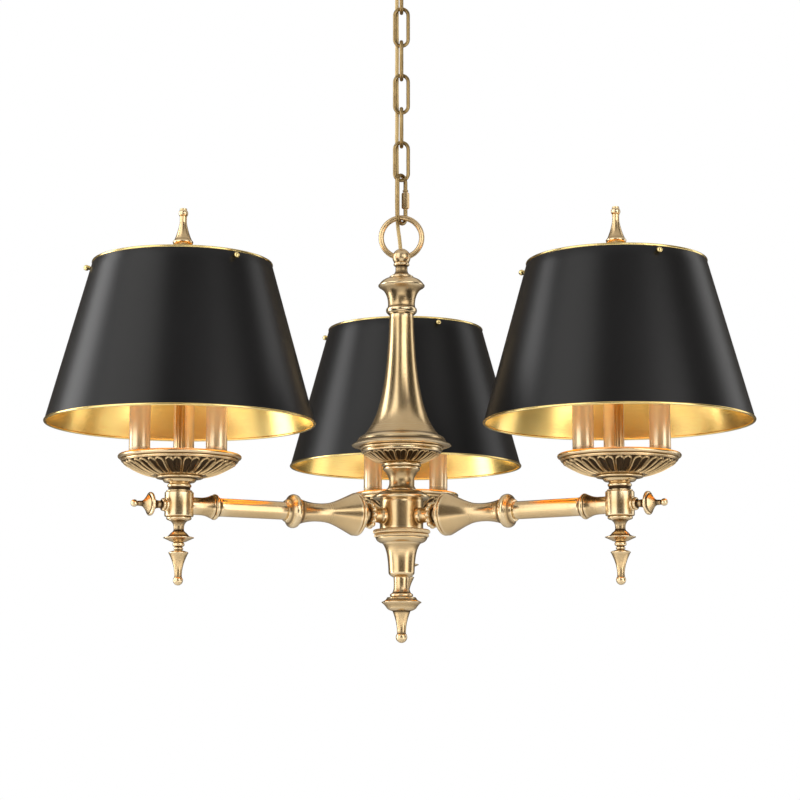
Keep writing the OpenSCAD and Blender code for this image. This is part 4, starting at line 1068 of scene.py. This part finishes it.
def socketOutline(s):
    flare, end = s["flare"], s["end"]
    return (
        [(tubeRadius + 0.5, 0), (tubeRadius + 0.8, 3)] + bead(flare - 2.4, 6.4, 4.8, 2.4)
        + bend((flare - 1.4, 10.2), (flare - 3.4, 14), (end + 0.2, 18), (end, 24))
        + [(end, s["length"] + 3)]
    )


sideKnob = {"length": 42, "disc": 13.4, "ball": 4.2}


def knobOutline(k):
    h, d, n = k["length"], k["length"] * 0.45, k["disc"]
    return (
        [(8.2, -1.5), (8.2, 0.6)] + bead(6, 3, 3.6, 1.4) + bend((5, 5.2), (4.2, 6), (4, 8), (4.8, d - 7), 8)
        + bend((6.4, d - 5.4), (8.6, d - 3.6), (n - 2.2, d - 2.6), (n - 0.3, d - 1.6), 8)
        + [(n, d - 1), (n, d + 0.6), (n - 1.4, d + 1.4), (n - 3, d + 1.6)]
        + bend((n - 3.2, d + 2.6), (n * 0.58, d + 4.6), (4.4, d + 6.6), (3.1, d + 10), 14)
        + [(2.9, h - 8.6)] + ball(k["ball"], h - k["ball"], -52, 90)
    )


sleeveStart = flaredSleeve["start"]
sleeveEnd = sleeveStart + flaredSleeve["length"]
socketStart = armReach - barrelRadius - armSocket["length"]
tubeOutline = [(tubeRadius, (socketStart - sleeveEnd) * i / 8) for i in range(9)]
rootMesh = toMesh("armRoot", rootPart(armRoot), antiqueBrass)
sleeveMesh = brassMesh("armSleeve", sleeveOutline(flaredSleeve), armBore, 112)
tubeMesh = brassMesh("armTube", tubeOutline, armBore, 80)
socketMesh = brassMesh("armSocket", socketOutline(armSocket), armBore, 80)
knobMesh = brassMesh("sideKnob", knobOutline(sideKnob), 0.0, 72)
for side in sides:
    setBrass(f"armRoot_{side}", rootMesh, "arm_roots", armAt(side, 0))
    setBrass(f"armSleeve_{side}", sleeveMesh, f"arm_cone_{side}", armAt(side, sleeveStart))
    setBrass(f"armTube_{side}", tubeMesh, f"arm_tube_{side}", armAt(side, sleeveEnd))
    setBrass(f"armSocket_{side}", socketMesh, "arm_sockets", armAt(side, socketStart))
    setBrass(f"sideKnob_{side}", knobMesh, "side_knobs", armAt(side, armReach + barrelRadius))
print("arms made")


# branch ends
knuckle = {"above": 15, "below": 13, "neck": 10.6, "foot": 4}


def knuckleOutline(k):
    b, hi, lo, foot = barrelRadius, k["above"], -k["below"], k["foot"]
    n, top = b - 4, hi + k["neck"]
    return (
        [(n, lo - foot)] + bead(n, lo - foot / 2, foot - 0.6, 1.8)
        + [(b - 0.8, lo), (b, lo + 0.8), (b, (lo + hi) / 2), (b, hi - 0.8), (b - 0.8, hi)]
        + [(b - 1.8, hi), (b - 1.8, hi + 1.6), (n, hi + 2), (n, hi + 4.6)]
        + bead(n, hi + 7, 3.6, 1.2) + [(n - 0.5, top - 1.2), (n - 0.5, top)]
    )


dropFinial = {"height": 73.7, "disc": 17.4, "spike": 11.3, "ball": 5.6, "neck": 12.1}


def dropOutline(f):
    h, d, k = f["height"], f["height"] * 0.735, f["height"] * 0.51
    n, s, neck = f["disc"], f["spike"], f["neck"]
    return (
        ball(f["ball"], f["ball"], -90, 38)
        + bend((4.2, f["ball"] + 6), (4.3, h * 0.24), (5.4, h * 0.34), (s - 0.6, k - 2), 16)
        + [(s, k - 1.4), (s, k - 0.4), (s - 2, k + 0.6), (4.4, k + 2)]
        + bead(4.2, k + 3.8, 3, 1.2) + [(4.4, d - 10.8)] + bead(5, d - 8, 4.6, 1.8)
        + bend((6.4, d - 5.4), (n * 0.5, d - 5), (n * 0.75, d - 2.4), (n, d - 0.8), 8) + [(n, d)]
        + bend((n - 4, d + 1), (n * 0.6, d + 2), (n * 0.62, d + 4), (7, d + 6.5), 10)
        + bend((6, d + 8), (5.6, d + 12), (6, h - 3.5), (neck - 2.5, h - 1), 10) + [(neck, h)]
    )


flutedDish = {
    "radius": 70.2, "height": 32, "foot": 26.9, "footH": 7.5, "rimH": 8, "tray": 3,
    "depth": 2.4, "ridge": 0.7,
}


def dishMesh(f):
    n, k, b, r, rimH = barrelRadius, f["foot"], f["footH"], f["radius"], f["rimH"]
    rim, tray = f["height"] - rimH, f["height"] - f["tray"]
    bowl = bend((k + 1, b), (k + 14, b + 1.6), (r - 17, rim - 9.4), (r - 4.2, rim - 0.6), 60)
    outline = (
        [(n - 3, 0)] + bend((n + 0.5, 0.4), (n + 2.4, 1.5), (n + 2.6, 3.2), (n + 3.4, 4.6), 8)
        + bead(k - 1.4, b - 1.6, 2.6, 1.4) + bowl
        + bead(r - 4.6, rim + 1.2, 2.4, 1.2) + bead(r - 2.6, rim + rimH * 0.66, rimH * 0.62, 2.6, 14)
        + [(r - 4.5, f["height"]), (r - 6, tray), (r - 20, tray), (30, tray)]
    )
    return flutedMesh("flutedDish", outline, f, (k + 3.5, b + 1), (r - 4.5, rim - 0.8))


branchDish = dishMesh(flutedDish)
knuckleMesh = brassMesh("knuckle", knuckleOutline(knuckle), 0.0, 88)
dropMesh = brassMesh("dropFinial", dropOutline(dropFinial), 0.0, 80)
dishZ = knuckle["above"] + knuckle["neck"]
dropZ = -knuckle["below"] - knuckle["foot"] - dropFinial["height"]
for side in sides:
    setBrass(f"knuckle_{side}", knuckleMesh, f"knuckle_{side}", branchAt(side))
    setBrass(f"dropFinial_{side}", dropMesh, "drop_finials", branchAt(side, dropZ))
    setBrass(f"flutedDish_{side}", branchDish, f"dish_{side}", branchAt(side, dishZ))
print("branch ends made")


# candles, with holders and bulbs
candle = {"circle": 50, "radius": 12, "height": 92, "wall": 1, "turn": {"left": 2, "right": 2, "rear": 1}}
bulbForm = {"cap": 6.8, "capH": 20, "radius": 17.5, "height": 76}


def candleOutline(c):
    r, h, inner = c["radius"], c["height"], c["radius"] - c["wall"]
    return (
        [(inner, 0), (r + 1.4, 0), (r + 1.4, 1.5), (r, 2.5)] + [(r, h * i / 10) for i in range(1, 11)]
        + [(inner, h * i / 4) for i in range(4, 0, -1)]
    )


def glassOutline(b):
    r, z, h, neck = b["radius"], b["capH"], b["height"], b["cap"] + 1
    return (
        [(neck, z)] + bend((neck, z + 3), (r + 1, z + 9), (r + 2, z + h * 0.42), (r * 0.72, z + h * 0.6), 20)
        + bend((r * 0.6, z + h * 0.67), (r * 0.32, z + h * 0.84), (r * 0.2, z + h * 0.94), (1.2, z + h), 14)
    )


def bulbCapOutline(b):
    r, thread = b["cap"], []
    for i in range(5):
        thread += [(r - 0.5, 4.2 + 2.6 * i), (r, 5.5 + 2.6 * i)]
    return [(r - 2.5, 0), (r, 3)] + thread + [(r, b["capH"]), (r + 1, b["capH"])]


trayZ = dishZ + flutedDish["height"] - flutedDish["tray"]
part = turned(candleOutline(candle), candle["radius"] - candle["wall"], 64, 0.25, closed=False)
candleMesh = toMesh("candleSleeve", part, candleGold)
glassMesh = toMesh("bulbGlass", turned(glassOutline(bulbForm), 0.0, 48), frostedGlass)
capMesh = toMesh("bulbCap", turned(bulbCapOutline(bulbForm), 0.0, 40, 0.25), zincSteel)
dress("lampholders", holderIvory)
for side in sides:
    for i in range(3):
        spot = branchAt(side, trayZ) @ spin(90 + candle["turn"][side] + 120 * i) @ shift(candle["circle"])
        top = spot @ shift(z=candle["height"] - bulbForm["capH"])
        setPiece(f"candleSleeve_{side}_{i + 1}", candleMesh, "frame", "candle_sleeves", spot)
        setPiece(f"bulbGlass_{side}_{i + 1}", glassMesh, "frame", "bulbs", top)
        setPiece(f"bulbCap_{side}_{i + 1}", capMesh, "frame", "bulbs", top)
print("candles made")


# shades
shade = {
    "low": 153.5, "top": 103, "height": 184, "wall": 1.2, "topZ": 278, "wire": 1.5, "nut": 3.4, "nutDrop": 7,
    "rise": 14, "segments": 192, "turn": {"left": 10, "right": -9, "rear": -6},
}


def shadeRadius(drop):
    return shade["top"] + (shade["low"] - shade["top"]) * drop / shade["height"]


def wallOutline(inset, steps=14):
    h = shade["height"]
    return [(shadeRadius(h * (1 - i / steps)) - inset, h * i / steps) for i in range(steps + 1)]


# one skin of the shade, between two insets from its outer face
def skinMesh(name, outer, inner, finish):
    outline = wallOutline(outer) + wallOutline(inner)[::-1]
    return toMesh(name, turned(outline, 0.0, shade["segments"], 0.1, closed=False, loop=True), finish)


def rimPart(s, half):
    low, top = circlePath(s["low"] - half, 144), circlePath(s["top"] - half, 144, s["height"])
    return fused([bar(path, s["wire"], 14, True) for path in (low, top)])


def nutPart(s):
    n, drop = s["nut"], s["nutDrop"]
    outline = [(1.5, -1.4), (1.5, 0.3), (n * 0.75, 0.85), (n * 0.75, 1.8)] + ball(n, n + 1.2, -40, 90)
    nut = turned(outline, 0.0, 32, 0.2)
    at = shift(shadeRadius(drop), 0, s["height"] - drop) @ spin(90, "Y")
    return fused([moved(nut, spin(180 + 120 * i) @ at) for i in range(3)])


spiderForm = {"hub": 11, "hubH": 3, "bore": 5.08, "wire": 2, "arm": 1.6, "gap": 0.3, "slope": 0.25}


def spiderPart(s):
    hub, h, slope = s["hub"], s["hubH"], s["slope"]
    low, high = shade["height"] - shade["nutDrop"], shade["height"] + shade["rise"] + s["gap"]
    r, armHigh = shadeRadius(shade["nutDrop"]) - shade["wall"] - s["wire"] - 0.4, high + h / 2
    outline = [(hub - 0.6, 0), (hub, 0.6), (hub, h - 0.6), (hub - 0.6, h)]
    parts = [moved(turned(outline, s["bore"], 48), shift(z=high))]
    parts.append(bar(circlePath(r, 120, low), s["wire"], 12, True))
    arm = bend((hub - 2, armHigh), (hub + 20, armHigh - 20 * slope), (r - 30, low + 30 * slope), (r, low), 16)
    for i in range(3):
        k = math.radians(180 + 120 * i)
        parts.append(bar([(x * math.cos(k), x * math.sin(k), z) for x, z in arm], s["arm"], 12))
    return fused(parts)


stemForm = {"radius": 5, "foot": 7.5, "seat": 9, "tip": 4, "nut": 9}


def stemPart(s):
    r, seat, tip, nut, z = s["radius"], s["seat"], s["tip"], s["nut"], shade["topZ"] + shade["rise"]
    top = z + spiderForm["hubH"] + spiderForm["gap"]
    outline = [(r, s["foot"] + 40 * i) for i in range(6)]
    outline += [(r, z - 4.5), (seat - 0.6, z - 4), (seat, z - 3.4), (seat, z - 0.5), (seat - 0.5, z), (r, z)]
    outline += [(r, top), (tip, top), (tip, top + 12)]
    lockNut = turned([(nut * 0.88, 0), (nut, 0.8), (nut, 5.2), (nut * 0.88, 6)], r, 6, 0.1)
    return fused([turned(outline, 0.0, 40), moved(lockNut, shift(z=trayZ))])


topFinial = {"height": 48.5, "flange": 11.8, "ball": 5.5, "mid": 9.4, "bore": 4.08}


def topOutline(f):
    r, z, h = f["flange"], f["mid"], f["height"]
    return (
        [(r - 3, 0), (r - 2.4, 4)] + bend((r - 2, 5), (r - 1, 6), (r - 0.4, 7), (r, z - 0.8), 8) + [(r, z)]
        + bend((r - 1.4, z + 1.6), (7.6, z + 7), (4.4, z + 18), (3.8, h - 14), 18) + [(3.8, h - 10.5)]
        + ball(f["ball"], h - f["ball"], -46, 90)
    )


half = shade["wall"] / 2
outerMesh = skinMesh("shadeOuter", 0, half, shadeBlack)
liningMesh = skinMesh("shadeLining", half + 0.02, shade["wall"], liningGold)
rimMesh = toMesh("shadeRims", rimPart(shade, half), shadeGold)
nutMesh = toMesh("shadeNuts", nutPart(shade), shadeGold)
spiderMesh = toMesh("shadeSpider", spiderPart(spiderForm), shadeGold)
stemMesh = toMesh("shadeStem", stemPart(stemForm), antiqueBrass, 30)
finialMesh = brassMesh("topFinial", topOutline(topFinial), topFinial["bore"], 64)
for side in sides:
    body = f"shade_{side}"
    spot = branchAt(side, shade["topZ"] - shade["height"])
    turnedSpot = spot @ spin(shade["turn"][side])
    setPiece(f"shadeOuter_{side}", outerMesh, body, f"shade_{side}", spot)
    setPiece(f"shadeLining_{side}", liningMesh, body, f"shade_{side}", spot)
    setPiece(f"shadeRims_{side}", rimMesh, body, f"shade_{side}", spot)
    setPiece(f"shadeNuts_{side}", nutMesh, body, f"shade_nuts_{side}", turnedSpot)
    setPiece(f"shadeSpider_{side}", spiderMesh, body, f"spider_{side}", turnedSpot)
    setBrass(f"shadeStem_{side}", stemMesh, f"shade_stem_{side}", branchAt(side))
    top = shift(*branchSpot(side), lowOf(f"top_finial_{side}"))
    setPiece(f"topFinial_{side}", finialMesh, f"finial_{side}", f"top_finial_{side}", top)
print("shades made")


# floor, light and background
studio = {
    "floorDrop": 1.3, "floorRadius": 7.0, "floorSteps": 64,
    "paint": (0.82, 0.82, 0.81), "grain": (0.80, 0.80, 0.79),
}
floorZ, count = cadLow.z - studio["floorDrop"], studio["floorSteps"]
floorPoints = [(0, 0, floorZ)] + circlePath(studio["floorRadius"], count, floorZ)
floorMesh = bpy.data.meshes.new("studioFloor")
floorMesh.from_pydata(floorPoints, [], [[0, 1 + i, 1 + (i + 1) % count] for i in range(count)])
floor = bpy.data.objects.new("studioFloor", floorMesh)
scene.collection.objects.link(floor)
floorFinish, tree, shader = startFinish("floorPaint")
grain = put(tree, "ShaderNodeTexNoise", {"Scale": 30.0, "Detail": 3.0}).outputs[0]
tree.links.new(blendColour(tree, grain, studio["paint"], studio["grain"]), shader.inputs["Base Color"])
shader.inputs["Roughness"].default_value = 0.8
floorMesh.materials.append(floorFinish)

world = bpy.data.worlds.new("studioWorld")
world.use_nodes = True
scene.world = world
tree = world.node_tree
tree.nodes.clear()
rays = put(tree, "ShaderNodeLightPath")
seen = calc(tree, "MAXIMUM", rays.outputs["Is Camera Ray"], rays.outputs["Is Transmission Ray"])
room = put(tree, "ShaderNodeBackground", {"Color": (1.0, 0.86, 0.68, 1), "Strength": 0.1})
white = put(tree, "ShaderNodeBackground", {"Color": (1, 1, 1, 1), "Strength": 1.0})
choose = put(tree, "ShaderNodeMixShader")
for i, source in enumerate((seen, room.outputs[0], white.outputs[0])):
    tree.links.new(source, choose.inputs[i])
tree.links.new(choose.outputs[0], put(tree, "ShaderNodeOutputWorld").inputs[0])

middle = Vector((0, 0, armZ * mm + 0.1))


# around: degrees to the right of the camera, up: degrees above the level of the middle
def standAt(around, up, away):
    a, e = math.radians(around), math.radians(up)
    return middle + away * Vector((math.sin(a) * math.cos(e), -math.cos(a) * math.cos(e), math.sin(e)))


def softBox(name, spot, size, radiance, tint):
    data = bpy.data.lights.new(name, "AREA")
    data.shape = "RECTANGLE"
    data.size, data.size_y = size
    data.energy = radiance * math.pi * size[0] * size[1]
    data.color = tint
    lamp = bpy.data.objects.new(name, data)
    scene.collection.objects.link(lamp)
    lamp.location = spot
    lamp.rotation_euler = (middle - spot).to_track_quat("-Z", "Y").to_euler()


softBox("keyBox", standAt(-48, 16, 2.7), (2.3, 3.4), 1.8, (1.0, 0.99, 0.97))
softBox("fillBox", standAt(46, 6, 2.7), (1.3, 2.8), 2.2, (1.0, 0.98, 0.96))
softBox("sideBox", standAt(-98, 10, 2.7), (1.1, 3.0), 4.0, (1.0, 1.0, 1.0))
softBox("edgeBox", standAt(112, 10, 2.7), (1.1, 3.0), 1.5, (1.0, 1.0, 1.0))
softBox("stripBox", standAt(20, 19, 2.7), (1.4, 0.7), 2.8, (1.0, 0.99, 0.97))
for name, around in (("lowFront", 0), ("lowLeft", -72), ("lowRight", 72)):
    softBox(name, standAt(around, -25, 2.6), (2.9, 0.7), 1.15, (1.0, 0.97, 0.92))
softBox("topBox", standAt(180, 88, 4.5), (9.0, 9.0), 0.6, (1.0, 1.0, 1.0))
print("studio made")
